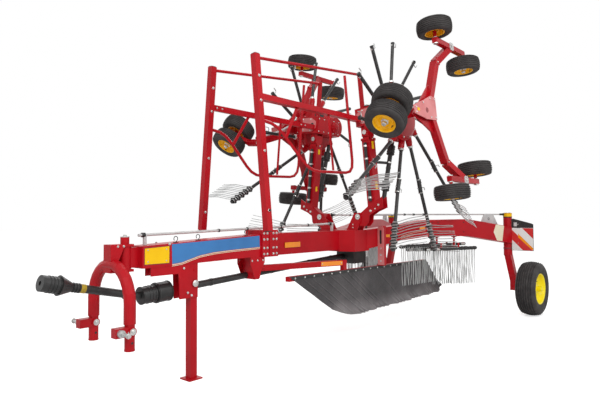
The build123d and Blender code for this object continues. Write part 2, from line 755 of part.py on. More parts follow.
def castor():
    turn = Pos(CASTOR_X, CASTOR_Y, 0) * Rot(0, 0, CASTOR_TURN)
    top = CASTOR_ARM_Z - SWIVEL_L / 2 - RUN_GAP
    neck = top - BOGIE_W * 0.6
    hub_x = CASTOR_TRAIL
    gap_half = CASTOR_GAUGE / 2 - SMALL_W / 2
    half = CASTOR_GAUGE / 2 + SMALL_W * 0.45
    fork = fuse([
        rod((0, 0, neck), (0, 0, top), CASTOR_PIN_R * 2),
        bar((0, 0, neck), (hub_x, 0, BOGIE_Z), gap_half * 1.4, BOGIE_W),
        rod((hub_x, -half, BOGIE_Z), (hub_x, half, BOGIE_Z), SMALL_AXLE_R),
    ])
    save_pair("castor_fork", UNIT.location * (turn * fork))
    tyres = []
    rims = []
    for side in (1, -1):
        at = axle_plane(hub_x, side * CASTOR_GAUGE / 2, BOGIE_Z, side)
        tyres.append(turn * tyre(SMALL_R, SMALL_W, SMALL_RIM_R, SMALL_SIDES, at))
        rims.append(turn * rim(SMALL_RIM_R, SMALL_W, SMALL_AXLE_R, DISH_SHARE, SMALL_SIDES, at))
    save_pair("castor_tyres", UNIT.location * Compound(tyres))
    save_pair("castor_rims", UNIT.location * Compound(rims))


# Guard frame, in the rotor's plane
GUARD_Z = 270
GUARD_W = 64
GUARD_X = 2000
GUARD_TOP_Y = 375
GUARD_LOW_Y = -1285
HOOP_R = 16
HOOP_SIDES = 8
HOOP_BEND = 140
BEND_STEPS = 3


def guard():
    post = bar(
        (GUARD_X, GUARD_TOP_Y, GUARD_Z), (GUARD_X, GUARD_LOW_Y, GUARD_Z), GUARD_W, GUARD_W, (1, 0, 0),
    )
    upright_x = GUARD_X * 0.3
    rail_y = -GUARD_W / 2
    rail = bar((GUARD_X, rail_y, GUARD_Z), (HEAD_FRONT_X, rail_y, GUARD_Z), GUARD_W * 0.9)
    stay_top = (HEAD_W, GUARD_TOP_Y * 1.4, GUARD_Z)
    top_rail = rod((GUARD_X, GUARD_TOP_Y - HOOP_R * 2, GUARD_Z), stay_top, HOOP_R, HOOP_SIDES)
    stay = bar(
        (HEAD_W, stay_top[1] + HOOP_R, GUARD_Z), (HEAD_W, HEAD_W * 0.35, GUARD_Z),
        GUARD_W * 0.6, GUARD_W * 0.6, (1, 0, 0),
    )
    hoop_points = [
        (GUARD_X, GUARD_LOW_Y * 0.2, GUARD_Z), (GUARD_X * 0.9, GUARD_LOW_Y * 0.2, GUARD_Z),
        (GUARD_X * 0.67, GUARD_LOW_Y * 0.54, GUARD_Z), (upright_x, GUARD_LOW_Y * 0.52, GUARD_Z),
        (upright_x, GUARD_TOP_Y * 1.2, GUARD_Z),
    ]
    pieces = [post, rail, top_rail, stay]
    pieces.append(pipe(bend(hoop_points, HOOP_BEND, BEND_STEPS), HOOP_R, HOOP_SIDES, (0, 0, 1)))
    save_pair("guard", UNIT.location * fuse(pieces))


# Telescopic lift arms
SLEEVE_X = PIVOT_X - ROTOR_X
SLEEVE_Z = 250
SLEEVE_W = 110
SLEEVE_LOW_Y = -1050
SLEEVE_TOP_Y = -240
INNER_W = 90
EYE_R = 48
CRANK_R = 394
# The crank plates' outline from the hinge, as shares of their radius, outboard and up
CRANK_SHARES = [
    (-0.31, -0.12), (0.815, 0.58), (0.845, 0.26), (0.56, 0.15),
    (0.37, 0.035), (0.343, -0.165), (0.24, -0.28), (-0.15, -0.27),
]


def unit_point(x, y, z):
    """A place given in the level rotor frame, as a place on the machine."""
    return UNIT.from_local_coords(Vector(x, y, z))


def lift_arms():
    wall = (SLEEVE_W - INNER_W) / 2 - SLIDE_GAP
    sleeve = bar((SLEEVE_X, SLEEVE_LOW_Y, SLEEVE_Z), (SLEEVE_X, SLEEVE_TOP_Y, SLEEVE_Z), SLEEVE_W)
    hollow = bar(
        (SLEEVE_X, SLEEVE_LOW_Y + wall, SLEEVE_Z), (SLEEVE_X, SLEEVE_TOP_Y + wall, SLEEVE_Z),
        SLEEVE_W - 2 * wall,
    )
    sleeve = UNIT.location * (sleeve - hollow)
    base = unit_point(SLEEVE_X, SLEEVE_LOW_Y + SLEEVE_W / 4, SLEEVE_Z)
    eye_start = (PIVOT_X - EYE_L / 2 + RUN_GAP, PIVOT_Y, PIVOT_Z)
    eye_end = (PIVOT_X + EYE_L / 2 - RUN_GAP, PIVOT_Y, PIVOT_Z)
    eye = rod(eye_start, eye_end, EYE_R)
    neck = bar((PIVOT_X, PIVOT_Y, PIVOT_Z), tuple(base), EYE_R, EYE_L * 0.8, (1, 0, 0))
    bore = rod((PIVOT_X - EYE_L, PIVOT_Y, PIVOT_Z), (PIVOT_X + EYE_L, PIVOT_Y, PIVOT_Z), PIN_R + RUN_GAP)
    inside = UNIT.location * hollow
    plates = []
    for side in (1, -1):
        x = PIVOT_X + side * ((EYE_L - SKIN) / 2 - RUN_GAP)
        outline = [(PIVOT_Y + out * CRANK_R, PIVOT_Z + up * CRANK_R) for out, up in CRANK_SHARES]
        across = Plane(origin=(x, 0, 0), x_dir=(0, 1, 0), z_dir=(1, 0, 0))
        plates.append(slab(outline, SKIN, across) - inside)
    arm = fuse([sleeve, eye, neck - inside] + plates) - bore
    save_pair("lift_arm", arm)
    inner_low = SLEEVE_LOW_Y + wall + SLIDE_GAP
    inner_top = TILT_Y + INNER_W / 2
    tube = bar((SLEEVE_X, inner_low, SLEEVE_Z), (SLEEVE_X, inner_top, SLEEVE_Z), INNER_W)
    eye_ends = [(SLEEVE_X + side * INNER_W, TILT_Y, SLEEVE_Z) for side in (1, -1)]
    tube = tube - rod(eye_ends[0], eye_ends[1], TILT_PIN_R + RUN_GAP)
    save_pair("slide_tube", UNIT.location * tube)


# Guarded drive shaft and hose cover beside each lift arm
ROTOR_SHAFT_R = 27
BELL_R = 45
BELL_L = 110
ROTOR_SHAFT_TOP = (-114, -210, 150)
ROTOR_SHAFT_LOW = (110, -960, 218)
# Where the shaft's stays reach it, as shares from its top
STAY_SHARES = (0.42, 0.78)
HOSE_COVER_R = 19
HOSE_COVER_TOP_Y = -300
HOSE_COVER_LOW_Y = -980
COVER_SIDES = 12


def arm_drives():
    top = Vector(*ROTOR_SHAFT_TOP)
    low = Vector(*ROTOR_SHAFT_LOW)
    way = (low - top).normalized()
    upper = top + way * BELL_L
    lower = low - way * BELL_L
    shaft = fuse([
        rod(tuple(top), tuple(low), ROTOR_SHAFT_R, COVER_SIDES),
        rod(tuple(upper), tuple(upper + way * BELL_L), BELL_R, COVER_SIDES),
        rod(tuple(lower - way * BELL_L), tuple(lower), BELL_R, COVER_SIDES),
    ])
    stays = []
    for share in STAY_SHARES:
        middle = top + (low - top) * share
        foot = (SLEEVE_X - SLEEVE_W * 0.4, middle.Y, SLEEVE_Z - SLEEVE_W * 0.3)
        stays.append(bar(foot, tuple(middle), ROTOR_SHAFT_R, ROTOR_SHAFT_R, (0, 1, 0)))
    x = SLEEVE_X + SLEEVE_W / 2 + HOSE_COVER_R + RUN_GAP
    cover = rod((x, HOSE_COVER_LOW_Y, SLEEVE_Z), (x, HOSE_COVER_TOP_Y, SLEEVE_Z), HOSE_COVER_R, COVER_SIDES)
    room = SLEEVE_W + 2 * RUN_GAP
    sleeve = bar((SLEEVE_X, SLEEVE_LOW_Y, SLEEVE_Z), (SLEEVE_X, SLEEVE_TOP_Y, SLEEVE_Z), room)
    save_pair("arm_drive", UNIT.location * Compound([fuse([shaft] + stays) - sleeve, cover]))


# Stored tine arms, hung in two layers below each rear arm
RACK_Z = 1030
RACK_PITCH = 53
RACK_DROP = 52
RACK_BAR = 30
# Each stored arm: its place across in pitches, its layer, the share of the rear
# arm's run where its root lies, and its turn
STORED_ROWS = [
    (-1.0, 0, 0.50, 180), (0.0, 0, 0.59, 180), (1.0, 0, 0.68, 180),
    (-1.5, 1, 0.41, 0), (-0.5, 1, 0.37, 0), (0.5, 1, 0.33, 0), (1.5, 1, 0.29, 0),
]
HANGER_SHARES = (0.45, 0.57)


def stored_arms():
    root = Vector(ARM_ROOT_X, ARM_ROOT_Y, 0)
    run = Vector(0, COLUMN_Y, 0) - root
    way = Plane(origin=(ARM_ROOT_X, ARM_ROOT_Y, RACK_Z), x_dir=run, z_dir=(0, 0, 1))
    pieces = []
    for across, layer, share, turn in STORED_ROWS:
        place = Pos(run.length * share, across * RACK_PITCH, -layer * RACK_DROP)
        pieces.append(place * Rot(0, 0, turn) * stored_arm())
    first = min(row[0] for row in STORED_ROWS) * RACK_PITCH - RACK_BAR
    last = max(row[0] for row in STORED_ROWS) * RACK_PITCH + RACK_BAR
    thin = RACK_BAR * 0.45
    for share in HANGER_SHARES:
        x = run.length * share
        z = -RACK_DROP / 2
        pieces.append(bar((x, first, z), (x, last, z), RACK_BAR, thin))
        reach = RACK_BAR / 2 / run.length
        top = min(arm_bottom(share - reach), arm_bottom(share + reach)) - RACK_Z - RUN_GAP
        pieces.append(bar((x, -RACK_PITCH / 2, z), (x, -RACK_PITCH / 2, top), RACK_BAR, thin, (0, 1, 0)))
    save_pair("stored_arms", way.location * fuse(pieces))


def arm_bottom(share):
    """The height of the rear arm's underside at a share of its run."""
    for here, there in zip(ARM_STATIONS, ARM_STATIONS[1:]):
        if share <= there[0]:
            part = (share - here[0]) / (there[0] - here[0])
            return here[1] + (there[1] - here[1]) * part
    return ARM_STATIONS[-1][1]


def stored_arm():
    """An outer arm lying along +X, tines down."""
    pieces = [rod((0, 0, 0), (OUTER_ARM_L, 0, 0), ARM_TUBE_R, 6)]
    pitch = (ROTOR_R - TINE_SIDE * 1.5 - TINE_INNER_R) / (TINE_UNITS - 1)
    half = TINE_SIDE * COIL_SHARE
    for unit in range(TINE_UNITS):
        x = OUTER_ARM_L - TINE_SIDE - unit * pitch
        pieces.append(bar((x - half, 0, 0), (x + half, 0, 0), RACK_PITCH * 0.9))
        for side in (-1, 1):
            tine_x = x + side * TINE_SIDE / 2
            pieces.append(bar((tine_x, 0, 0), (tine_x, 0, -TINE_L), TINE_T, TINE_T, (0, 1, 0)))
    return fuse(pieces)


# Warning boards and the steering rod
BOARD_INNER_Y = COLUMN_Y + 70
BOARD_W = 300
BOARD_H = 460
BOARD_Z = 1145
BOARD_T = 6
ROD_R = 12
ROD_FRONT_X = 5480
ROD_FRONT_Z = 1266
ROD_REAR_Z = 1332


def warning_boards():
    boards = []
    for side in (1, -1):
        y = side * (BOARD_INNER_Y + BOARD_W / 2)
        x = COLUMN_R * 0.5
        board = Pos(x, y, BOARD_Z) * Box(BOARD_T, BOARD_W, BOARD_H)
        start = side * COLUMN_Y
        stay_x = x - BOARD_T * 2
        stay = bar((stay_x, start, BOARD_Z), (stay_x, y, BOARD_Z), BOARD_T * 3.2, BOARD_T * 5)
        carrier = rear_arm() if side > 0 else mirror(rear_arm(), about=Plane.XZ)
        boards.append(fuse([board, stay]) - carrier)
    save("warning_boards", Compound(boards))


def steering_rod():
    rods = [rod((ROD_FRONT_X, 0, ROD_FRONT_Z), (BEAM_REAR_X, 0, ROD_REAR_Z), ROD_R)]
    clips = [
        (ROD_FRONT_X - ROD_R * 5, beam_top(ROD_FRONT_X - ROD_R * 6), ROD_FRONT_Z),
        (BEAM_REAR_X + ROD_R * 2, BEAM_TOP, ROD_REAR_Z),
    ]
    for x, low, high in clips:
        rods.append(bar((x, 0, low + RUN_GAP), (x, 0, high), ROD_R * 2, ROD_R * 2, (0, 1, 0)))
    save("steering_rod", fuse(rods))


os.makedirs("parts", exist_ok=True)
main_beam()
centre_frame()
save_pair("rear_arm", rear_arm())
rear_wheels()
knuckles()
parking_stand()
headstock()
drive_line()
tractor_shaft()
curtain()
curtain_arm()
rotor()
rotor_head()
bogie_wheels()
castor()
guard()
lift_arms()
arm_drives()
stored_arms()
warning_boards()
steering_rod()
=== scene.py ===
import math
import random

import bpy
from mathutils import Matrix, Vector


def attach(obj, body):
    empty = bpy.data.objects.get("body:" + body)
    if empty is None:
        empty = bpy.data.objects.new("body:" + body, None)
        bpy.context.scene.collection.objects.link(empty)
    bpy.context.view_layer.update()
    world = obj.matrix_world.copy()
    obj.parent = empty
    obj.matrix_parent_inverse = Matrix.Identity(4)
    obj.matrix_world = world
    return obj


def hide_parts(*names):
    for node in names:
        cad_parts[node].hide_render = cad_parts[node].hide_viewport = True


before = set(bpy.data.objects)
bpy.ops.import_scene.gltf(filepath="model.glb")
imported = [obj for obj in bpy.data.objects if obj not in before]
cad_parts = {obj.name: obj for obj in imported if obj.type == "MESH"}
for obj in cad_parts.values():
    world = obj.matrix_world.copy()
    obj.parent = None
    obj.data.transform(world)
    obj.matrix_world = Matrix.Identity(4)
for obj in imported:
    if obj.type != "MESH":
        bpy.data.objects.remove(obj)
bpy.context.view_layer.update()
rng = random.Random(7)
TURN = 2 * math.pi
AHEAD, OUTWARD, UP = Vector((1, 0, 0)), Vector((0, 1, 0)), Vector((0, 0, 1))
SIDES = (("left", 1), ("right", -1))
ENDS = (1, -1)

# Everything is in metres. Places along X are first measured from the rear axle,
# as in the part's source, and then moved back by ORIGIN_X.
ORIGIN_X = 2.9435


def place(x, y, z):
    return Vector((x - ORIGIN_X, y, z))


# The rotor units are modelled level about the rotor's centre, and then folded up
UNIT_X, UNIT_Y, UNIT_Z = 2.460, 0.620, 2.590
UNIT_LEAN = math.radians(5.7)


def add_object(name, data):
    made = bpy.data.objects.new(name, data)
    bpy.context.scene.collection.objects.link(made)
    return made


def both_sides(*builders):
    """Run each builder for the left side and then for the right side."""
    for build in builders:
        for label, side in SIDES:
            build(label, side)


def flank(side):
    """The mirror for the right-hand pieces."""
    return Matrix.Diagonal((1, side, 1, 1))


def unit(side):
    """From the level rotor frame to the folded place on the machine."""
    c, s = math.cos(UNIT_LEAN), math.sin(UNIT_LEAN)
    rows = ((1, 0, 0, UNIT_X - ORIGIN_X), (0, -s, -c, UNIT_Y), (0, c, -s, UNIT_Z), (0, 0, 0, 1))
    return flank(side) @ Matrix(rows)


# Camera, solved from the photograph
CAMERA_AT = (4.8575, 3.849, 1.406)
CAMERA_YAW = 221.74
CAMERA_PITCH = 1.91
CAMERA_ROLL = -0.28
CAMERA_LENS = 31.39


def add_camera():
    yaw, pitch, roll = (math.radians(a) for a in (CAMERA_YAW, CAMERA_PITCH, CAMERA_ROLL))
    look = Vector((math.cos(pitch) * math.cos(yaw), math.cos(pitch) * math.sin(yaw), math.sin(pitch)))
    level = look.cross(UP).normalized()
    steep = level.cross(look)
    right = math.cos(roll) * level + math.sin(roll) * steep
    top = math.cos(roll) * steep - math.sin(roll) * level
    data = bpy.data.cameras.new("camera")
    data.lens = CAMERA_LENS
    data.sensor_width = 36
    data.clip_end = 100
    camera = add_object("camera", data)
    axes = Matrix((right, top, -look)).transposed().to_4x4()
    camera.matrix_world = Matrix.Translation(CAMERA_AT) @ axes
    bpy.context.scene.camera = camera


add_camera()


# Materials
def node_tree(name):
    made = bpy.data.materials.new(name)
    made.use_nodes = True
    tree = made.node_tree
    return made, tree, tree.nodes["Principled BSDF"]


def feed(tree, node, **inputs):
    """Set a node's inputs, or link them; an underscore stands for a space in an input's name."""
    for word, value in inputs.items():
        socket = node.inputs[word.replace("_", " ")]
        if isinstance(value, bpy.types.NodeSocket):
            tree.links.new(value, socket)
        else:
            socket.default_value = value


def node_of(tree, kind, **inputs):
    node = tree.nodes.new("ShaderNode" + kind)
    feed(tree, node, **inputs)
    return node


def maths(tree, kind, *values):
    """A Math node; each value is a number or another node's output."""
    node = tree.nodes.new("ShaderNodeMath")
    node.operation = kind
    for socket, value in zip(node.inputs, values):
        if isinstance(value, (int, float)):
            socket.default_value = value
        else:
            tree.links.new(value, socket)
    return node.outputs[0]


def rest_coords(tree):
    """The piece's own rest coordinates, so that a pattern rides with the body."""
    return tree.nodes.new("ShaderNodeTexCoord").outputs["Object"]


def noise(tree, scale, detail=4.0, stretch=(1, 1, 1), kind="TexNoise"):
    mapping = node_of(tree, "Mapping", Vector=rest_coords(tree), Scale=stretch)
    return node_of(tree, kind, Vector=mapping.outputs["Vector"], Scale=scale, Detail=detail).outputs[0]


def ramp(tree, source, stops):
    made = tree.nodes.new("ShaderNodeValToRGB")
    tree.links.new(source, made.inputs["Fac"])
    elements = made.color_ramp.elements
    while len(elements) < len(stops):
        elements.new(0.5)
    for element, (at, colour) in zip(elements, stops):
        element.position = at
        element.color = (*colour, 1)
    return made.outputs["Color"]


def grey(value):
    return (value, value, value)


def bump(tree, shader, source, strength, distance, **under):
    made = node_of(tree, "Bump", Strength=strength, Distance=distance, Height=source, **under)
    feed(tree, shader, Normal=made.outputs["Normal"])
    return made.outputs["Normal"]


def dull(tree, cloud, high, low):
    """A roughness that drifts between two values with the patches of a cloud."""
    return ramp(tree, cloud, [(0.3, grey(high)), (0.7, grey(low))])


def finish_of(name, low, high, rough, metallic=0.0, coat=0.0, grain=600, depth=0.0003,
              patch=6, spread=0.08, specular=0.5):
    """A finish whose colour drifts between two tones in soft patches, with its
    own grain as bump and a roughness that varies with the patches."""
    made, tree, shader = node_tree(name)
    cloud = noise(tree, patch, 5)
    feed(tree, shader, Base_Color=ramp(tree, cloud, [(0.32, low), (0.68, high)]), Metallic=metallic,
         Roughness=dull(tree, cloud, rough + spread, rough - spread), Coat_Weight=coat,
         Coat_Roughness=0.1, Specular_IOR_Level=specular)
    bump(tree, shader, noise(tree, grain, 2), 0.25, depth)
    return made


red = finish_of("paint_red", (0.40, 0.002, 0.008), (0.49, 0.004, 0.011), 0.36, coat=0.08, grain=420,
                depth=0.0002, patch=3, spread=0.05, specular=0.2)
deep_red = finish_of("paint_deep_red", (0.20, 0.006, 0.010), (0.28, 0.010, 0.016), 0.42, coat=0.25,
                     patch=5)
# A pale pink copy of the red paint: painted highlight for red plates that face the light.
highlight_pink = finish_of("painted_highlight_red", (0.62, 0.16, 0.16), (0.72, 0.24, 0.24), 0.45, coat=0.15, grain=380, patch=5)
rubber = finish_of("tyre_rubber", (0.034, 0.031, 0.031), (0.056, 0.051, 0.050), 0.72, grain=900,
                   depth=0.0006, patch=9, spread=0.1, specular=0.35)
yellow = finish_of("rim_orange_yellow", (0.97, 0.50, 0.004), (1.0, 0.56, 0.006), 0.42, coat=0.15,
                   grain=350, specular=0.3)
clear_yellow = finish_of("rim_yellow", (0.96, 0.77, 0.006), (1.0, 0.84, 0.010), 0.40, coat=0.1,
                         grain=350, specular=0.3)
panel_yellow = finish_of("panel_yellow", (0.90, 0.52, 0.004), (0.95, 0.59, 0.006), 0.45, grain=70,
                         specular=0.2)
ochre = finish_of("worn_ochre", (0.30, 0.20, 0.010), (0.46, 0.32, 0.015), 0.5, grain=350, patch=14)
amber = finish_of("amber_lens", (0.90, 0.25, 0.008), (0.97, 0.34, 0.012), 0.2, coat=0.8, grain=160,
                  depth=0.0008)
blue = finish_of("banner_blue", (0.030, 0.17, 0.44), (0.038, 0.20, 0.50), 0.36, coat=0.2, grain=60,
                 depth=0.0001)
cream = finish_of("banner_cream", (0.80, 0.74, 0.52), (0.86, 0.80, 0.60), 0.4, coat=0.2, grain=80)
galvanised = finish_of("tine_zinc", (0.42, 0.43, 0.43), (0.60, 0.61, 0.60), 0.42, metallic=0.7,
                       grain=240, patch=18)
bright = finish_of("bright_zinc", (0.55, 0.55, 0.53), (0.74, 0.74, 0.72), 0.28, metallic=0.9, grain=300,
                   depth=0.0001, patch=25)
pale = finish_of("pale_steel", grey(0.50), (0.62, 0.61, 0.60), 0.5, metallic=0.1, grain=260, patch=12)
dark_steel = finish_of("dark_steel", grey(0.014), grey(0.030), 0.45, metallic=0.2, coat=0.15, grain=500,
                       patch=8)
plastic = finish_of("black_plastic", grey(0.012), grey(0.022), 0.42, grain=1400, patch=7)


def woven_rubber():
    """Cloth-reinforced rubber sheet: a fine weave, a soft sheen, and painted light that makes it lighter
    towards its foot.
    """
    made, tree, shader = node_tree("sheet_rubber")
    cloud = noise(tree, 1.6, 5)
    height = node_of(tree, "SeparateXYZ", Vector=rest_coords(tree)).outputs["Z"]
    # Painted light: the sheet's colour is raised towards its foot, where the crumpled hem catches the light.
    painted_light_at_foot = node_of(tree, "MapRange", Value=height, From_Min=0.50, From_Max=0.36, To_Min=0.0, To_Max=0.26)
    tones = [(0.38, (0.024, 0.020, 0.022)), (0.56, (0.064, 0.056, 0.059)), (0.82, (0.185, 0.168, 0.172))]
    shade = ramp(tree, maths(tree, "ADD", cloud, painted_light_at_foot.outputs["Result"]), tones)
    feed(tree, shader, Base_Color=shade, Roughness=dull(tree, cloud, 0.66, 0.5), Sheen_Weight=0.25)
    threads = []
    for axis in ("X", "Z"):
        wave = node_of(tree, "TexWave", Vector=rest_coords(tree), Scale=110)
        wave.bands_direction = axis
        threads.append(wave.outputs["Fac"])
    weave = bump(tree, shader, maths(tree, "MULTIPLY", *threads), 0.5, 0.0006)
    bump(tree, shader, noise(tree, 6, 3, (1, 1, 1.6)), 0.5, 0.02, Normal=weave)
    return made


STRIPE_PITCH = 0.312
STRIPE_START_SHARE = 0.711
STRIPE_RED_SHARE = 0.54


def striped_board():
    """Wide red and white bands at 45 degrees, mirrored on the two sides."""
    made, tree, shader = node_tree("striped_board")
    spot = node_of(tree, "SeparateXYZ", Vector=rest_coords(tree)).outputs
    slant = maths(tree, "ADD", spot["Z"], maths(tree, "ABSOLUTE", spot["Y"]))
    bands = maths(tree, "ADD", maths(tree, "MULTIPLY", slant, 1 / STRIPE_PITCH), STRIPE_START_SHARE)
    stripe = maths(tree, "GREATER_THAN", maths(tree, "FRACT", bands), STRIPE_RED_SHARE)
    feed(tree, shader, Base_Color=ramp(tree, stripe, [(0.4, (0.80, 0.80, 0.78)), (0.6, (0.62, 0.02, 0.02))]),
         Roughness=dull(tree, noise(tree, 10, 3), 0.42, 0.32), Coat_Weight=0.4)
    bump(tree, shader, noise(tree, 260, kind="TexVoronoi"), 0.3, 0.0005)
    return made


curtain_rubber = woven_rubber()
stripes = striped_board()


# Shapes
def rect(left, low, right, high):
    """The outline of a plate, or the section of a disc or ring that a lathe turns."""
    return [(left, low), (right, low), (right, high), (left, high)]


class Shape:
    """Collects closed forms into one mesh, each in the shape's paint or in its own."""

    def __init__(self, paint):
        self.paint = paint
        self.points, self.faces, self.paints = [], [], []

    def add(self, points, faces, paint=None):
        base = len(self.points)
        self.points += [Vector(p) for p in points]
        self.faces += [tuple(base + i for i in face) for face in faces]
        self.paints += [paint or self.paint] * len(faces)

    def loops(self, rings, paint=None):
        """Skin a list of equal rings of points, and close its two ends."""
        n = len(rings[0])
        faces = []
        for i in range(len(rings) - 1):
            for k in range(n):
                m = (k + 1) % n
                faces.append((i * n + k, i * n + m, (i + 1) * n + m, (i + 1) * n + k))
        faces.append(tuple(range(n))[::-1])
        faces.append(tuple((len(rings) - 1) * n + k for k in range(n)))
        self.add([p for ring in rings for p in ring], faces, paint)

    def tube(self, path, radius, sides=10, paint=None):
        """A round tube along points."""
        path = [Vector(p) for p in path]
        side = None
        rings = []
        for i, point in enumerate(path):
            before = (point - path[i - 1]).normalized() if i else None
            after = (path[i + 1] - point).normalized() if i < len(path) - 1 else None
            way = ((before or after) + (after or before)).normalized()
            if side is None:
                side = way.orthogonal().normalized()
            side = (side - way * side.dot(way)).normalized()
            other = way.cross(side)
            angles = [TURN * k / sides for k in range(sides)]
            rings.append([point + radius * (math.cos(a) * side + math.sin(a) * other) for a in angles])
        self.loops(rings, paint)

    def lathe(self, profile, at, axis, sides=48, paint=None, cut=None):
        """Turn a closed outline of (radius, offset) pairs about an axis through a point;
        cut(step, radius, offset) may lower a point at some of the steps."""
        axis = Vector(axis).normalized()
        side = axis.orthogonal().normalized()
        other = axis.cross(side)
        points, faces = [], []
        n = len(profile)
        for i in range(sides):
            a = TURN * i / sides
            out = math.cos(a) * side + math.sin(a) * other
            points += [Vector(at) + out * (r - cut(i, r, h) if cut else r) + axis * h for r, h in profile]
            j = (i + 1) % sides
            for k in range(n):
                m = (k + 1) % n
                faces.append((i * n + k, j * n + k, j * n + m, i * n + m))
        self.add(points, faces, paint)

    def disc(self, radius, thick, at, axis, sides=24, paint=None):
        """A round plate that stands on a surface."""
        self.lathe(rect(0, 0, radius, thick), at, axis, sides, paint)

    def pin_head(self, radius, thick, at, axis, sides, seat, size):
        """A bright disc with a bolt that is seated in it."""
        self.disc(radius, thick, at, axis, sides, bright)
        self.bolt(Vector(at) + axis * seat, axis, size)

    def bar(self, start, end, width, height, up=UP, paint=None, chamfer=0.0):
        """A box bar from start to end with cut corners along its length."""
        start, end = Vector(start), Vector(end)
        way = (end - start).normalized()
        side = way.cross(Vector(up)).normalized()
        top = side.cross(way)
        w, h, c = width / 2, height / 2, chamfer or min(width, height) * 0.08
        outline = [(-w + c, -h), (w - c, -h), (w, -h + c), (w, h - c), (w - c, h), (-w + c, h),
                   (-w, h - c), (-w, -h + c)]
        self.loops([[p + side * u + top * v for u, v in outline] for p in (start, end)], paint)

    def plate(self, outline, at, across, along, thickness, paint=None):
        """A flat plate with a polygon outline in the plane of two directions."""
        at, across, along = Vector(at), Vector(across).normalized(), Vector(along).normalized()
        normal = across.cross(along)
        levels = (-thickness / 2, thickness / 2)
        self.loops([[at + across * u + along * v + normal * t for u, v in outline] for t in levels], paint)

    def bolt(self, at, axis, size, paint=bright):
        """A washer and a hexagon head that stands on a surface."""
        axis = Vector(axis).normalized()
        at = Vector(at) - axis * size * 0.1
        self.disc(size * 1.05, size * 0.3, at, axis, 12, paint)
        head = [(0, size * 0.25), (size * 0.8, size * 0.25), (size * 0.8, size * 0.85),
                (size * 0.66, size * 0.95), (0, size * 0.95)]
        self.lathe(head, at, axis, 6, paint)

    def piece(self, name, body, matrix=None, smooth=38, slot=None, stands_for=None):
        """Make the mesh, let it ride on its body, and let it replace its CAD node."""
        points = [matrix @ p for p in self.points] if matrix else self.points
        flip = matrix is not None and matrix.determinant() < 0
        faces = [face[::-1] for face in self.faces] if flip else self.faces
        data = bpy.data.meshes.new(name)
        data.from_pydata([tuple(p) for p in points], [], faces)
        kinds = list(dict.fromkeys(self.paints))
        for paint in kinds:
            data.materials.append(paint)
        data.polygons.foreach_set("material_index", [kinds.index(paint) for paint in self.paints])
        data.polygons.foreach_set("use_smooth", [True] * len(faces))
        data.update()
        data.set_sharp_from_angle(angle=math.radians(smooth))
        made = add_object(name, data)
        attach(made, body)
        if stands_for:
            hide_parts(stands_for)
        return made


# Wheels
BIG_WHEEL = dict(radius=0.380, width=0.264, rim_r=0.205, axle_r=0.030, ribs=7, bolts=5, dish=0.2)
SMALL_WHEEL = dict(radius=0.205, width=0.166, rim_r=0.108, axle_r=0.020, ribs=6, bolts=4, dish=0.3)
BIG_WHEEL_Y = 1.322
RUN_Z = -0.500
FRONT_WHEEL_X, REAR_WHEEL_X = -0.180, -0.870
ROCKER_Y, AXLE_REACH = 0.810, 0.155
CASTOR_X, CASTOR_Y, CASTOR_TURN = 0.896, -0.281, math.radians(38)
CASTOR_TRAIL, TWIN_HALF = 0.130, 0.1175


def tyre_profile(radius, width, rim_r, ribs):
    """A tyre section with lengthwise ribs, as (radius, offset) pairs."""
    height = radius - rim_r
    w = width / 2
    outer = []
    count = ribs * 4
    for i in range(count + 1):
        share = -1 + 2 * i / count
        groove = height * 0.09 if i % 4 in (1, 2) and 0 < i < count else 0.0
        outer.append((radius - height * 0.10 * share * share - groove, share * w * 0.80))
    left = [(rim_r, -w * 0.70), (rim_r + height * 0.10, -w * 0.88), (rim_r + height * 0.30, -w * 0.97),
            (rim_r + height * 0.52, -w), (rim_r + height * 0.74, -w * 0.95)]
    right = [(r, -h) for r, h in left[::-1]]
    return left + outer + right


def rim_profile(rim_r, width, axle_r, dish):
    """A dished rim from its outer flange through the well to the hub."""
    w = width / 2
    t = rim_r * 0.035
    return [
        (rim_r, -w * 0.70), (rim_r, w * 0.70), (rim_r * 1.06, w * 0.80), (rim_r * 1.05, w * 0.86),
        (rim_r * 0.97, w * 0.80), (rim_r * 0.93, w * 0.55), (rim_r * 0.84, w * (dish + 0.12)),
        (rim_r * 0.70, w * dish), (rim_r * 0.52, w * (dish + 0.03)), (rim_r * 0.42, w * (dish + 0.16)),
        (axle_r * 1.9, w * (dish + 0.18)), (axle_r * 1.9, -w * 0.55), (axle_r * 2.4, -w * 0.60),
        (rim_r * 0.5, w * dish - t * 2), (rim_r * 0.80, w * dish - t), (rim_r * 0.90, -w * 0.3),
        (rim_r * 0.93, -w * 0.80), (rim_r * 1.05, -w * 0.86), (rim_r * 1.06, -w * 0.80),
    ]


def tread_cut(radius, width, rim_r):
    """Notches across the shoulders and the middle of a large tyre's tread."""
    crown = radius - (radius - rim_r) * 0.20
    edge = width * 0.17
    deep = radius * 0.017

    def cut(step, r, h):
        if r < crown:
            return 0.0
        shift = 2 if h > 0 else 0
        if abs(h) > edge:
            return deep if (step + shift) % 4 < 2 else 0.0
        return deep * 0.7 if (step + shift) % 8 == 0 else 0.0

    return cut


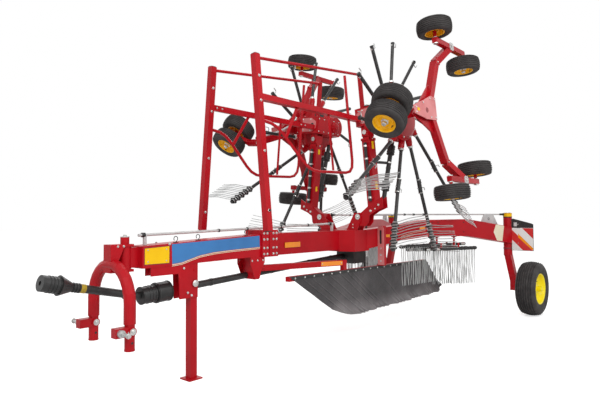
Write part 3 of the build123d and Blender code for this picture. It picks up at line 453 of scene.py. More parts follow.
def wheel_parts(tyre, rim, at, axis, radius, width, rim_r, axle_r, ribs, bolts, dish):
    """Add one wheel's rubber and rim to two shapes; axis points outboard."""
    axis = Vector(axis).normalized()
    large = radius > 0.3
    cut = tread_cut(radius, width, rim_r) if large else None
    tyre.lathe(tyre_profile(radius, width, rim_r, ribs), at, axis, 128 if large else 64, cut=cut)
    rim.lathe(rim_profile(rim_r, width, axle_r, dish), at, axis, 48)
    face = Vector(at) + axis * width / 2 * (dish + 0.16)
    cap = axle_r * 1.9
    snout = axle_r * 1.25
    end = width * (0.505 - (dish + 0.16) / 2)
    hub = [(0, -width * 0.02), (cap, -width * 0.02), (cap, width * 0.05), (snout, width * 0.085),
           (snout, end - 0.006), (snout * 0.8, end), (0, end)]
    rim.lathe(hub, face, axis, 24, None if large else bright)
    side = axis.orthogonal().normalized()
    other = axis.cross(side)
    for k in range(bolts):
        a = TURN * (k + 0.5) / bolts
        rim.bolt(face + rim_r * 0.34 * (math.cos(a) * side + math.sin(a) * other), axis, rim_r * 0.06)
    stem = Vector(at) + axis * width * 0.30 + side * rim_r * 0.80
    rim.tube([stem, stem + axis * 0.03 - side * 0.01], 0.005, 6, plastic)


def add_axle(title, label, hubs, matrix, paint, sizes, many=""):
    """The rubber and the rims of the wheels on one axle."""
    tyre, rim = Shape(rubber), Shape(paint)
    for at, axis in hubs:
        wheel_parts(tyre, rim, at, axis, **sizes)
    body = f"{title}_wheel{many}_{label}"
    tyre.piece(f"{title}_rubber_{label}", body, matrix, slot="tyre",
               stands_for=f"{title}_tyre{many}_{label}")
    rim.piece(f"{title}_disc{many}_{label}", body, matrix, slot="rim_yellow",
              stands_for=f"{title}_rim{many}_{label}")


CASTOR = Matrix.Translation((CASTOR_X, CASTOR_Y, 0)) @ Matrix.Rotation(CASTOR_TURN, 4, "Z")


def add_wheels(label, side):
    for name, x, way in (("front", FRONT_WHEEL_X, 1), ("rear", REAR_WHEEL_X, -1)):
        for spot, hand in (("outer", 1), ("inner", -1)):
            hub = ((x, hand * (ROCKER_Y + way * AXLE_REACH), RUN_Z), (0, hand * way, 0))
            add_axle(f"{name}_{spot}", label, [hub], unit(side), yellow, SMALL_WHEEL)
    twins = [((CASTOR_TRAIL, hand * TWIN_HALF, RUN_Z), (0, hand, 0)) for hand in ENDS]
    add_axle("castor", label, twins, unit(side) @ CASTOR, yellow, SMALL_WHEEL, "s")
    hub = (place(0, BIG_WHEEL_Y, BIG_WHEEL["radius"]), OUTWARD)
    add_axle("rear", label, [hub], flank(side), clear_yellow, BIG_WHEEL)


both_sides(add_wheels)


# Rotors and stored arms
ARM_COUNT = 11
# The arms that still carry tines, each with the angle that the cam turns them by
FULL_ARMS = {0: 0, 10: 12, 9: 28, 8: 46}
FIRST_ARM = math.radians(-56)
CAM_R = 0.300
ARM_R = 0.020
ARM_OFFSET = 0.150
ARM_START = 0.380
ARM_DROP = 0.090
STUB_END = 0.860
ARM_TIP = 1.643
TINE_R = 0.0045
TINE_L = 0.490
TINE_PITCH = 0.066
TINE_COUNT = 5
TINE_UNITS = [1.345 + k * TINE_PITCH for k in range(TINE_COUNT)]
HOLDER_HALF = 0.0235
PAIR_HALF = 0.017
PIN_R = 0.0055


def tine(shape, at, along, down, hook):
    """One spring tine: a coil round the arm, then a long leg with a slow bend."""
    path = []
    coil_r = 0.027
    for i in range(19):
        a = TURN * i / 12
        path.append(at + along * (i - 18) * 0.0007 + coil_r * (math.cos(a) * hook - math.sin(a) * down))
    foot = path[-1]
    sway = rng.uniform(-0.012, 0.012)
    for share in (0.08, 0.2, 0.35, 0.5, 0.65, 0.8, 0.92, 1.0):
        bow = 0.030 * share * share + 0.006 * math.sin(share * 9)
        leg = foot + down * TINE_L * share * 0.985 - hook * (coil_r * share - bow)
        path.append(leg + along * sway * share)
    shape.tube(path, TINE_R, 6, galvanised)


def coil_unit(shape, centre, along, down, hook, size):
    """A tine pair on its moulded holder, clamped round the arm."""
    shape.tube([centre - along * HOLDER_HALF, centre + along * HOLDER_HALF], size, 14, plastic)
    shape.bar(centre - along * 0.0085, centre + along * 0.0085, size * 2.1, size * 2.3, hook, plastic, 0.006)
    shape.bolt(centre + hook * size * 1.12, hook, 0.008)
    for step in (-PAIR_HALF, PAIR_HALF):
        tine(shape, centre + along * step, along, down, hook)


def arm_end(shape, tip, along, hook):
    """An open arm end: its plug, and the cranked locking pin through it."""
    plug = [(0, -0.01), (0.0235, -0.01), (0.0235, 0.004), (0.018, 0.008), (0, 0.008)]
    shape.lathe(plug, tip, along, 14, plastic)
    pin = tip - along * 0.035
    shape.tube(
        [pin - hook * 0.032, pin + hook * 0.045, pin + hook * 0.062 + along * 0.006,
         pin + hook * 0.066 + along * 0.030, pin + hook * 0.066 + along * 0.055],
        PIN_R, 8, galvanised,
    )
    shape.lathe(rect(0, -0.002, 0.012, 0.003), pin - hook * 0.028, hook, 10, bright)


def arm_sleeve(shape, at, along, across):
    """The bearing sleeve where an arm leaves the cam housing."""
    up = along.cross(across)
    sleeve = [(0, 0), (0.038, 0), (0.038, 0.085), (0.034, 0.092), (0.034, 0.112), (0.030, 0.118), (0, 0.118)]
    shape.lathe(sleeve, at(0.250), along, 18)
    nut = [(0, 0), (0.029, 0), (0.029, 0.018), (0.025, 0.022), (0, 0.022)]
    shape.lathe(nut, at(0.368), along, 18, bright)
    for k in range(3):
        a = TURN * k / 3
        shape.bolt(at(0.366) + 0.031 * (math.cos(a) * across + math.sin(a) * up), along, 0.0055)


def arm_joint(shape, centre, along, hook):
    """The coupling where a removable outer arm is pinned to its stub."""
    shape.tube([centre - along * 0.085, centre + along * 0.085], 0.0255, 14, dark_steel)
    for step in (-0.083, 0.076):
        shape.tube([centre + along * step, centre + along * (step + 0.008)], 0.0285, 14, bright)
    pin = centre + along * 0.020
    shape.tube([pin - hook * 0.038, pin + hook * 0.042, pin + hook * 0.058 + along * 0.004,
                pin + hook * 0.062 + along * 0.035], PIN_R, 8, galvanised)
    shape.bolt(centre - along * 0.045 + hook * 0.025, hook, 0.009)


CAM_PROFILE = [
    (0.0555, -0.090), (0.245, -0.090), (0.285, -0.080), (CAM_R, -0.062), (CAM_R, -0.030), (0.294, -0.026),
    (0.294, 0.012), (CAM_R, 0.016), (CAM_R, 0.038), (0.288, 0.054), (0.262, 0.060), (0.0555, 0.060),
]


def add_rotor(label, side):
    swing = math.asin(ARM_OFFSET / ARM_START)
    slope = -ARM_DROP / (ARM_TIP - CAM_R)
    shape = Shape(red)
    shape.lathe(CAM_PROFILE, (0, 0, 0), UP, 72)
    for k in range(ARM_COUNT):
        a = TURN * (k + 0.5) / ARM_COUNT
        shape.bolt((0.270 * math.cos(a), 0.270 * math.sin(a), -0.0855), -UP, 0.010)
    for index in range(ARM_COUNT):
        a = FIRST_ARM + swing + index * TURN / ARM_COUNT
        along = Vector((math.cos(a), math.sin(a), 0))
        across = Vector((-math.sin(a), math.cos(a), 0))

        def at(s):
            return along * s - across * ARM_OFFSET + Vector((0, 0, -0.020 + slope * (s - CAM_R)))

        full = index in FULL_ARMS
        turned = math.radians(FULL_ARMS.get(index, 0))
        down = across * math.sin(turned) - UP * math.cos(turned)
        hook = along.cross(down) * -1
        shape.tube([at(0.21), at(ARM_TIP if full else STUB_END)], ARM_R, 14, dark_steel)
        arm_sleeve(shape, at, along, across)
        if full:
            arm_joint(shape, at(STUB_END), along, hook)
            for s in TINE_UNITS:
                coil_unit(shape, at(s), along, down, hook, 0.0300)
            shape.lathe([(0, 0), (0.022, 0), (0.022, 0.004), (0, 0.006)], at(ARM_TIP), along, 14, plastic)
        else:
            arm_end(shape, at(STUB_END), along, across)
    shape.piece(f"rotor_arms_{label}", f"rotor_{label}", unit(side), slot="bright_steel",
                stands_for=f"rotor_{label}")


# Each stored arm: its place across in pitches, its layer, the share of the rear
# arm's run where its root lies, and its direction along that run
STORED_ROWS = [
    (-1.0, 0, 0.50, -1), (0.0, 0, 0.59, -1), (1.0, 0, 0.68, -1),
    (-1.5, 1, 0.41, 1), (-0.5, 1, 0.37, 1), (0.5, 1, 0.33, 1), (1.5, 1, 0.29, 1),
]
RACK_PITCH = 0.053
RACK_DROP = 0.052
RACK_SHARES = (0.45, 0.57)
RACK_TOP = 1.142
OUTER_ARM_L = 0.800
# The run of a rear arm, from its root on the centre frame to the steering column
ARM_ROOT = Vector((2.560, 0.190, 1.030))
COLUMN_Y = 0.990


def add_stored_arms(label, side):
    run = Vector((0, COLUMN_Y, ARM_ROOT.z)) - ARM_ROOT
    length = run.length
    way = run.normalized()
    side_way = UP.cross(way)

    def spot(share, across, drop):
        return ARM_ROOT + way * length * share + side_way * across * RACK_PITCH - UP * drop

    shape = Shape(red)
    for across, layer, share, turned in STORED_ROWS:
        first = spot(share, across, layer * RACK_DROP)
        along = way * turned
        shape.tube([place(*first), place(*(first + along * OUTER_ARM_L))], ARM_R, 12, dark_steel)
        shape.tube([place(*(first + along * 0.012)), place(*(first + along * 0.09))], 0.0225, 12, bright)
        hand = 1 if layer else -1
        for k in range(TINE_COUNT):
            centre = place(*(first + along * (OUTER_ARM_L - 0.034 - k * TINE_PITCH)))
            hook = (side_way * hand * 0.85 + along * 0.5).normalized()
            down = -UP + along * rng.uniform(-0.03, 0.03) + side_way * rng.uniform(-0.03, 0.03)
            down = down.normalized()
            hook = (hook - down * hook.dot(down)).normalized()
            shape.tube([centre - along * HOLDER_HALF, centre + along * HOLDER_HALF], 0.0225, 12, plastic)
            shape.bar(centre - along * 0.008, centre + along * 0.008, 0.044, 0.046, down, plastic, 0.005)
            for step in (-PAIR_HALF, PAIR_HALF):
                stored_tine(shape, centre + along * step, along, down, hook)
    for share in RACK_SHARES:
        inner, outer = (place(*spot(share, across, RACK_DROP / 2)) for across in (-2.05, 2.05))
        shape.bar(inner, outer, 0.030, 0.0135, chamfer=0.002)
        for end, facing in ((inner, -side_way), (outer, side_way)):
            foot = end - facing * 0.004
            shape.bar(foot, foot + UP * 0.055, 0.030, 0.006, facing)
        post = place(*spot(share, -0.5, RACK_DROP / 2))
        top = Vector((post.x, post.y, RACK_TOP))
        shape.bar(post, top, 0.030, 0.0125, side_way, chamfer=0.002)
        shape.bar(top - UP * 0.008, top, 0.060, 0.050, side_way, chamfer=0.004)
        for step in (-0.02, 0.02):
            shape.bolt(top + way * step - UP * 0.007, -UP, 0.009)
    shape.piece(f"stored_tines_{label}", "root", flank(side), slot="bright_steel",
                stands_for=f"stored_arms_{label}")


def stored_tine(shape, at, along, down, hook):
    """A hanging tine of a stored arm, with the slow waves of bent wire."""
    path = [at + hook * 0.021, at + hook * 0.021 + down * 0.02]
    wave, lean = rng.uniform(0.004, 0.010), rng.uniform(0.0, 0.03)
    turn_at = rng.uniform(0, 3)
    for k in range(1, 12):
        share = k / 11
        leg = at + down * TINE_L * 0.985 * (0.06 + 0.94 * share)
        leg += hook * (0.021 * (1 - share) + lean * share * share)
        path.append(leg + along * wave * math.sin(turn_at + share * 7) * min(1.0, share * 3))
    shape.tube(path, TINE_R, 6, galvanised)


both_sides(add_rotor, add_stored_arms)


# Curtain
CURTAIN_Y = 0.330
CURTAIN_T = 0.003
# The top and the foot run from the front corner to the rear corner, as (x, z)
CURTAIN_TOP = ((4.020, 0.820), (1.260, 0.820))
CURTAIN_FOOT = ((3.164, 0.300), (0.791, 0.352))
CURTAIN_COLUMNS, CURTAIN_ROWS = 300, 40
# Shares of the curtain's length where the sheet keeps a sharp crease
CREASES = (0.05, 0.10, 0.16, 0.21, 0.28, 0.33, 0.36, 0.54, 0.92)
STRIP_Z = 0.800
STRIP_BOLTS = 19


def curtain_wave(u, v):
    """How far the sheet stands off its plane: folds, ripples, creases and a curled hem."""
    fold = 0.011 * math.sin(u * 24 + 1.6 * math.sin(u * 7) + v * 2.4) + 0.004 * math.sin(u * 57 + 2 + v * 4)
    ripple = 0.004 * math.sin(v * 15 + 3 * math.sin(u * 6)) * v
    hem = max(0.0, (v - 0.76) / 0.24)
    curl = hem * hem * min(1.0, u * 8) * (0.020 + 0.014 * math.sin(u * 130 + 2.5 * math.sin(u * 37)))
    sharp = sum(max(0.0, 1 - abs(u - line) / 0.007) for line in CREASES) * 0.006 * min(1.0, v * 4)
    return fold * v ** 1.2 + ripple - 0.008 * v * (1 - v) + curl + sharp


def curtain_point(u, v, offset):
    """A place on the sheet, which is cut on a slant and round at its lower corners."""
    rear = max(0.0, (u - 0.90) / 0.10)
    front = max(0.0, (0.10 - u) / 0.10)
    reach = v * (1 - 0.22 * rear ** 2.2 - 0.22 * front ** 2)
    high = [a + (b - a) * u for a, b in zip(*CURTAIN_TOP)]
    low = [a + (b - a) * u for a, b in zip(*CURTAIN_FOOT)]
    x, z = (a + (b - a) * reach for a, b in zip(high, low))
    return place(x, CURTAIN_Y + offset + curtain_wave(u, v), z)


def add_curtain():
    columns, rows = CURTAIN_COLUMNS, CURTAIN_ROWS
    points = [
        curtain_point(i / columns, j / rows, offset)
        for offset in (CURTAIN_T / 2, -CURTAIN_T / 2) for i in range(columns + 1) for j in range(rows + 1)
    ]
    step = rows + 1
    count = (columns + 1) * step
    faces = []
    for i in range(columns):
        for j in range(rows):
            a, b = i * step + j, (i + 1) * step + j
            faces.append((a, a + 1, b + 1, b))
            faces.append((count + a, count + b, count + b + 1, count + a + 1))
    edge = [i * step for i in range(columns + 1)]
    edge += [columns * step + j for j in range(1, rows + 1)]
    edge += [i * step + rows for i in range(columns - 1, -1, -1)]
    edge += [j for j in range(rows - 1, 0, -1)]
    for a, b in zip(edge, edge[1:] + edge[:1]):
        faces.append((a, b, count + b, count + a))
    shape = Shape(curtain_rubber)
    shape.add(points, faces)
    made = shape.piece("curtain_sheet", "root", slot="sheet_rubber", smooth=60, stands_for="curtain")
    strip = Shape(dark_steel)
    strip.bar(place(3.985, 0.3335, STRIP_Z), place(1.275, 0.3335, STRIP_Z), 0.0035, 0.030, chamfer=0.001)
    for k in range(STRIP_BOLTS):
        strip.bolt(place(3.94 - k * 0.1467, 0.3350, STRIP_Z), OUTWARD, 0.0095)
    hem = strip.piece("curtain_strip", "root", slot="black_steel")


BOOM_START, BOOM_END = place(4.226, 0, 0.900), place(3.100, 0.298, 0.900)
BOOM_HALF = 0.030


def add_boom_reflector():
    """The amber reflector on the outer face of the curtain arm's boom."""
    way = (BOOM_END - BOOM_START).normalized()
    out = way.cross(UP)
    shape = Shape(amber)
    first = BOOM_START + (BOOM_END - BOOM_START) * 0.72 + out * (BOOM_HALF + 0.0018)
    last = first + way * 0.290
    shape.bar(first, last, 0.0035, 0.048, chamfer=0.001)
    for spot in (first + way * 0.015, last - way * 0.015):
        shape.bolt(spot + out * 0.0018, out, 0.006)
    shape.piece("boom_reflector", "root")


add_curtain()
add_boom_reflector()


# Fittings on the frame
# The rims of a warning board, each from one (y, z) to another
BOARD_RIMS = ((1.060, 0.915, 1.360, 0.915), (1.360, 0.915, 1.360, 1.290), (1.060, 0.915, 1.060, 1.372))
BOARD_HEAD = [(1.060, 1.238), (1.360, 1.238), (1.360, 1.293), (1.335, 1.305), (1.085, 1.373), (1.060, 1.374)]
BOARD_POST_Y = 1.150


def add_boards():
    """The two warning boards: a black head over striped sheet, on a back frame."""
    shape = Shape(stripes)
    for hand in ENDS:

        def panel(outline, x, thickness, paint=None):
            shape.plate(outline, place(x, 0, 0), OUTWARD * hand, UP, thickness, paint)

        panel(rect(1.062, 0.917, 1.358, 1.236), 0.030, 0.0050)
        panel(BOARD_HEAD, 0.030, 0.0058, plastic)
        panel(rect(1.090, 1.262, 1.135, 1.318), 0.0330, 0.0006, pale)
        panel([(1.150, 1.103), (1.350, 0.919), (1.358, 0.948), (1.150, 1.156)], 0.0327, 0.0006, amber)
        for y0, z0, y1, z1 in BOARD_RIMS:
            shape.tube([place(0.030, hand * y0, z0), place(0.030, hand * y1, z1)], 0.0030, 6, plastic)
        y = hand * BOARD_POST_Y
        shape.bar(place(0.018, hand * COLUMN_Y, 1.145), place(0.018, hand * 1.206, 1.145), 0.018, 0.030,
                  paint=plastic)
        shape.bar(place(0.0245, y, 0.990), place(0.0245, y, 1.320), 0.036, 0.0055, AHEAD, plastic)
        for z in (1.020, 1.290):
            shape.bolt(place(0.0330, y, z), AHEAD, 0.0065)
    shape.piece("warning_panels", "root", slot="board_white", stands_for="warning_boards")


BEAM_SIDE = 0.100
BANNER_EDGE = [
    (5.220, 1.019), (5.120, 1.028), (5.033, 1.051), (4.927, 1.077), (4.770, 1.096), (4.604, 1.105),
    (4.429, 1.111), (4.199, 1.118),
]


def add_beam_side(label, side):
    """Bare coloured panels, a swept line and a reflector on the beam's side."""
    shape = Shape(blue)

    def patch(points, paint=None, lift=0.0):
        at = place(0, BEAM_SIDE + 0.0004 + lift, 0)
        shape.plate([(-x, z) for x, z in points], at, -AHEAD, UP, 0.0008, paint)

    patch([(5.488, 1.024), (5.242, 1.024), (5.242, 1.178), (5.488, 1.168)], deep_red)
    patch([(5.480, 1.032), (5.250, 1.032), (5.250, 1.170), (5.480, 1.160)], panel_yellow, 0.0008)
    patch(BANNER_EDGE + [(4.203, 1.228), (5.224, 1.186)])
    patch(rect(3.840, 1.092, 3.600, 1.146), amber, 0.0012)
    for low, thick in ((0.004, 0.006), (0.016, 0.004)):
        for (x0, z0), (x1, z1) in zip(BANNER_EDGE, BANNER_EDGE[1:]):
            patch([(x0, z0 - low - thick), (x1, z1 - low - thick), (x1, z1 - low), (x0, z0 - low)], cream)
    for x in (5.452, 5.278):
        for z in (1.052, 1.146):
            shape.bolt(place(x, BEAM_SIDE + 0.0016, z), OUTWARD, 0.006)
    shape.piece(f"beam_panels_{label}", "root", flank(side))


def add_beam_bolts(label, side):
    """Bolted flanges, the curtain arm's hanger and the stand's pin on the beam's side."""
    shape = Shape(red)
    for x in (4.165, 4.120, 4.035, 3.990):
        for z in (1.045, 1.105, 1.190, 1.250):
            shape.bolt(place(x, 0.125, z), OUTWARD, 0.012)
    shape.bar(place(4.076, 0.1270, 1.018), place(4.076, 0.1270, 1.279), 0.008, 0.030, AHEAD)
    for x in (4.300, 4.226, 4.152):
        shape.bolt(place(x, 0.0905, 0.985), OUTWARD, 0.013)
    shape.plate([(-4.320, 1.022), (-4.320, 0.950), (-4.290, 0.880), (-4.262, 0.808), (-4.200, 0.808),
                 (-4.180, 0.880), (-4.130, 0.960), (-4.130, 1.022)],
                place(0, 0.0945, 0), -AHEAD, UP, 0.008)
    shape.lathe([(0, 0), (0.030, 0), (0.030, 0.012), (0.024, 0.016), (0, 0.016)],
                place(4.985, 0.1023, 0.835), OUTWARD, 18, bright)
    shape.bolt(place(5.246, BEAM_SIDE, 1.190), OUTWARD, 0.012)
    for x, z in ((5.100, 0.975), (5.060, 0.760), (5.020, 0.735)):
        shape.bolt(place(x, BEAM_SIDE, z), OUTWARD, 0.010)
    shape.piece(f"beam_bolts_{label}", "root", flank(side), slot="red_paint")


ROD_R = 0.0122


def rod_collar(shape, x, radius, width, sides):
    """A collar or clip on the steering rod, which rises towards the rear above the beam."""
    spot = place(x, 0, 1.266 + (5.480 - x) / 2.580 * 0.066)
    shape.lathe(rect(ROD_R, 0, radius, width), spot, AHEAD, sides, plastic)


def add_beam_hooks():
    """Open hose hooks on top of the beam, and the steering rod's collars and clips."""
    shape = Shape(dark_steel)
    for x, rise in ((4.915, 1.206), (4.337, 1.232), (5.150, 1.195)):
        foot = place(x, 0.050, rise)
        shape.bar(foot, foot + UP * 0.006, 0.030, 0.040, AHEAD, plastic)
        bow = [foot + UP * 0.004]
        for k in range(9):
            a = math.pi * (1.25 - 1.5 * k / 8)
            bow.append(foot + Vector((0.020 * math.cos(a), 0, 0.034 + 0.020 * math.sin(a))))
        shape.tube(bow, 0.0035, 8)
    for x in (5.420, 2.950):
        rod_collar(shape, x, 0.020, 0.030, 16)
    for share in (0.16, 0.34, 0.58, 0.80):
        rod_collar(shape, 4.95 - share * 2.0, 0.0165, 0.014, 14)
    shape.piece("beam_hooks", "root", slot="black_steel")


ARM_RUN = Vector((-ARM_ROOT.x, COLUMN_Y - ARM_ROOT.y, 0))
ARM_WAY = ARM_RUN.normalized()
ARM_OUT = ARM_WAY.cross(UP)
ARM_SIDE = 0.080
TIE_START, TIE_END = place(2.590, 0.262, 1.436), place(0.045, 0.945, 1.437)


def on_arm(share, out, z):
    """A place by the left rear arm: share of its run, distance out from its middle plane, height."""
    return place(ARM_ROOT.x, ARM_ROOT.y, z) + ARM_RUN * share + ARM_OUT * out


def column_fittings(shape):
    """The steering column's yellow cap with its bolts, and the seals below it."""
    column = place(0, COLUMN_Y, 0)
    cap = [(0, 1.404), (0.0612, 1.404), (0.0612, 1.450), (0.055, 1.4575), (0, 1.4575)]
    shape.lathe(cap, column, UP, 32)
    shape.lathe(rect(0.055, 1.390, 0.0622, 1.403), column, UP, 32, plastic)
    shape.lathe(rect(0.055, 0.930, 0.0640, 0.952), column, UP, 32, deep_red)
    for k in range(6):
        a = TURN * k / 6
        spot = Vector((0.0364 * math.cos(a), 0.0364 * math.sin(a), 1.4570))
        shape.bolt(column + spot, UP, 0.0055, dark_steel)


def tie_rod(shape):
    """The tie rod over a rear arm, with its ball joints, clips and the pale plate below it."""
    shape.tube([TIE_START, TIE_END], 0.0095, 12, pale)
    ball = [(0, -0.020), (0.014, -0.016), (0.020, 0), (0.014, 0.016), (0, 0.020)]
    for spot, toward in ((TIE_START, TIE_END), (TIE_END, TIE_START)):
        step = (toward - spot).normalized()
        shape.tube([spot, spot + step * 0.075], 0.0150, 12, dark_steel)
        shape.lathe(ball, spot, UP, 16, dark_steel)
        shape.tube([spot + step * 0.075, spot + step * 0.10], 0.0120, 6, dark_steel)
    shape.tube([TIE_START, TIE_START - UP * 0.165], 0.012, 10, dark_steel)
    tie = TIE_END - TIE_START
    for step in (-0.16, 0.0, 0.18):
        spot = TIE_START + tie * 0.30 + tie.normalized() * step
        shape.tube([spot - ARM_WAY * 0.012, spot + ARM_WAY * 0.012], 0.014, 10, plastic)
    tongue = [(0, 0), (0.375, -0.050), (0.262, 0.122), (0.070, 0.122)]
    shape.plate(tongue, on_arm(0.78, 0.004, 1.322), ARM_WAY, UP, 0.007, pale)
    shape.lathe(rect(0.012, -0.006, 0.018, 0.006), on_arm(0.842, 0.004, 1.375), ARM_OUT, 16, dark_steel)
    for step in (0.03, 0.33):
        shape.bolt(on_arm(0.78, 0.008, 1.330 - step * 0.06) + ARM_WAY * step, ARM_OUT, 0.007, dark_steel)


def arm_markings(shape):
    """A plain cream patch, two thin arcs and amber reflectors on a rear arm's outer face."""
    outline = [(0.055, 0.098), (0.005, -0.010), (0.075, -0.130), (0.190, -0.143), (0.230, 0.074)]
    shape.plate(outline, on_arm(0.845, ARM_SIDE + 0.0004, 1.195), ARM_WAY, UP, 0.0010, cream)
    for rise in (0.0, 0.028):
        shares = [k / 12 for k in range(13)]
        arc = [on_arm(0.20 + 0.155 * s, ARM_SIDE, 1.135 + rise + 0.095 * s - 0.030 * s * s) for s in shares]
        shape.tube(arc, 0.0022, 6, cream)
    for share, z in ((0.335, 1.262), (0.115, 1.175)):
        spot = on_arm(share, ARM_SIDE + 0.0010, z)
        shape.bar(spot - ARM_WAY * 0.045, spot + ARM_WAY * 0.045, 0.005, 0.034, UP, amber, 0.001)
    for share in (0.40, 0.44, 0.62):
        for z in (1.200, 1.330):
            shape.bolt(on_arm(share, ARM_SIDE, z), ARM_OUT, 0.008, dark_steel)


def add_arm_fittings(label, side):
    shape = Shape(panel_yellow)
    column_fittings(shape)
    tie_rod(shape)
    arm_markings(shape)
    shape.piece(f"arm_fittings_{label}", "root", flank(side))


add_boards()
both_sides(add_beam_side, add_beam_bolts)
add_beam_hooks()
both_sides(add_arm_fittings)


# Fittings on the drawbar, lift arms and rotor carriers
LINK_X, LINK_Y, LINK_Z = 5.715, 0.278, 0.565
SHAFT_R = 0.0315
SHAFT_LOW, SHAFT_HIGH = place(5.440, -0.038, 0.763), place(6.267, 0, 0.953)


def add_drawbar_bolts():
    """Bolts, bored holes drawn as black discs of painted shade, seams and link pin clips on the lower link
    arch.
    """
    shape = Shape(red)
    for hand in ENDS:
        for end in ENDS:
            spot = place(LINK_X, hand * LINK_Y + end * 0.048, LINK_Z)
            shape.pin_head(0.025, 0.004, spot, OUTWARD * end, 24, 0.003, 0.014)
            hole = place(LINK_X, hand * LINK_Y + end * 0.0374, 0.480)
            # The black disc is painted shade standing for the inside of the bored hole.
            shape.disc(0.010, 0.0010, hole, OUTWARD * end, 20, plastic)
            shape.lathe(rect(0.010, 0, 0.014, 0.0016), hole, OUTWARD * end, 20)
        for z in (0.622, 0.425):
            shape.lathe(rect(0.036, -0.004, 0.0400, 0.004), place(LINK_X, hand * LINK_Y, z), UP, 24)
        pin = place(5.810, hand * 0.425, LINK_Z)
        shape.lathe(rect(0.0142, -0.004, 0.020, 0.004), pin, OUTWARD, 18, bright)
        shape.tube([pin - UP * 0.022, pin + UP * 0.030], 0.0030, 8, bright)
        for x in (5.640, 5.690):
            shape.bolt(place(x, hand * 0.055, 1.185), OUTWARD * hand, 0.009)
    shape.pin_head(0.036, 0.006, place(5.600, 0, 1.2545), UP, 24, 0.0055, 0.018)
    shape.piece("drawbar_bolts", "headstock", slot="bright_steel")


def on_drive_line(x):
    return place(x, -0.038, 0.763 + (x - 5.440) * (0.933 - 0.763) / (2.668 - 5.440))


def add_drive_rings():
    """Bellows, seams and the worn band on the tractor shaft's guard and the drive line."""
    shape = Shape(plastic)
    run = SHAFT_HIGH - SHAFT_LOW
    way = run.normalized()
    shape.lathe(rect(SHAFT_R + 0.0003, -0.024, 0.0345, 0.024), SHAFT_LOW + run * 0.61, way, 28, ochre)
    bellows = [(0.0590, -0.006), (0.0635, -0.004), (0.0635, 0.004), (0.0590, 0.006)]
    for back in (0.145, 0.120, 0.095, 0.070):
        shape.lathe(bellows, SHAFT_HIGH - way * back, way, 28)
    for back in (0.262, 0.285, 0.308):
        shape.lathe(rect(SHAFT_R, -0.005, 0.0370, 0.005), SHAFT_HIGH - way * back, way, 24)
    for share in (0.09, 0.13, 0.17):
        shape.lathe(rect(SHAFT_R, -0.006, 0.0400, 0.006), SHAFT_LOW + run * share, way, 24)
    axis = (1, 0, -0.0613)
    for places, r in (((5.172, 5.290), 0.085), ((5.318, 5.350, 5.380, 5.432), 0.072)):
        seam = [(r - 0.002, -0.007), (r + 0.0035, -0.005), (r + 0.0035, 0.005), (r - 0.002, 0.007)]
        for x in places:
            shape.lathe(seam, on_drive_line(x), axis, 32)
    for x in (5.050, 4.700, 3.900, 3.300, 2.900):
        shape.lathe(rect(SHAFT_R, -0.012, 0.0350, 0.012), on_drive_line(x), axis, 24)
    shape.piece("drive_rings", "root", slot="black_plastic")


HINGE_X = 2.730
SLEEVE_X, SLEEVE_Z = 0.270, 0.250


def slotted_plate(shape):
    """The slotted plate that carries the curtain arm, and the bolts beside the hinge."""
    for end in ENDS:
        for z in (1.285, 1.320):
            shape.bolt(place(HINGE_X + end * 0.066, 0.215, z), AHEAD * end, 0.008)
    slot = []
    for k in range(16):
        a = TURN * k / 16
        shift = 0.070 if 0 < a < math.pi else -0.070
        slot.append((0.361 + 0.014 * math.cos(a), 1.165 + 0.014 * math.sin(a) + shift))
    outline = [(0.318, 0.830), (0.404, 0.830), (0.404, 1.262), (0.388, 1.296), (0.334, 1.296), (0.318, 1.262)]
    # The plate is pale pink: painted highlight on its red paint.
    shape.plate(outline, place(2.4290, 0, 0), OUTWARD, UP, 0.007, highlight_pink)
    # The slot is a thin black plate laid on the face: painted shade standing for the hole.
    shape.plate(slot, place(2.4326, 0, 0), OUTWARD, UP, 0.0012, plastic)
    for z in (0.875, 0.950, 1.030):
        shape.bolt(place(2.4325, 0.361, z), AHEAD, 0.011)


def hinge_bolts(label, side):
    shape = Shape(bright)
    for end in ENDS:
        spot = place(HINGE_X + end * 0.0735, 0.289, 1.411)
        shape.pin_head(0.033, 0.005, spot, AHEAD * end, 28, 0.004, 0.016)
    if label == "left":
        slotted_plate(shape)
    shape.piece(f"hinge_bolts_{label}", "root", flank(side), slot="bright_steel")


def crank_bolts(label, side):
    shape = Shape(bright)
    for end in ENDS:
        for y, z, size in ((0.452, 1.478, 0.014), (0.560, 1.545, 0.013), (0.515, 1.502, 0.009)):
            shape.bolt(place(HINGE_X + end * 0.0495, y, z), AHEAD * end, size)
    shape.piece(f"crank_bolts_{label}", f"lift_arm_{label}", flank(side), slot="bright_steel")


def sleeve_collar(shape):
    """Wear pads and bolts where the slide tube leaves the lift arm, and blank yellow patches."""
    for u, v in ((1, 0), (-1, 0), (0, 1), (0, -1)):
        out = Vector((u, 0, v))
        middle = Vector((SLEEVE_X + u * 0.0585, -0.256, SLEEVE_Z + v * 0.0585))
        along = Vector((v, 0, u)) * 0.062
        shape.bar(middle - along, middle + along, 0.030, 0.007, out, chamfer=0.0015)
        if (u, v) != (1, 0):
            shape.bolt(middle + out * 0.0034, out, 0.009)
    for y in (-0.330, -0.800):
        low, high = (SLEEVE_X, y, 0.1944), (SLEEVE_X, y, 0.3056)
        shape.plate(rect(-0.022, -0.045, 0.022, 0.045), low, -AHEAD, OUTWARD, 0.0010, panel_yellow)
        shape.plate(rect(-0.018, -0.030, 0.018, 0.030), high, AHEAD, OUTWARD, 0.0010, panel_yellow)


def pipe_clips(shape):
    for k in range(5):
        y = -0.340 - k * 0.150
        shape.lathe(rect(0.0188, -0.010, 0.0222, 0.010), (0.3443, y, SLEEVE_Z), OUTWARD, 18, bright)
        shape.bar((0.3250, y, 0.2690), (0.3443, y, 0.2718), 0.018, 0.0035, UP, bright, 0.0008)


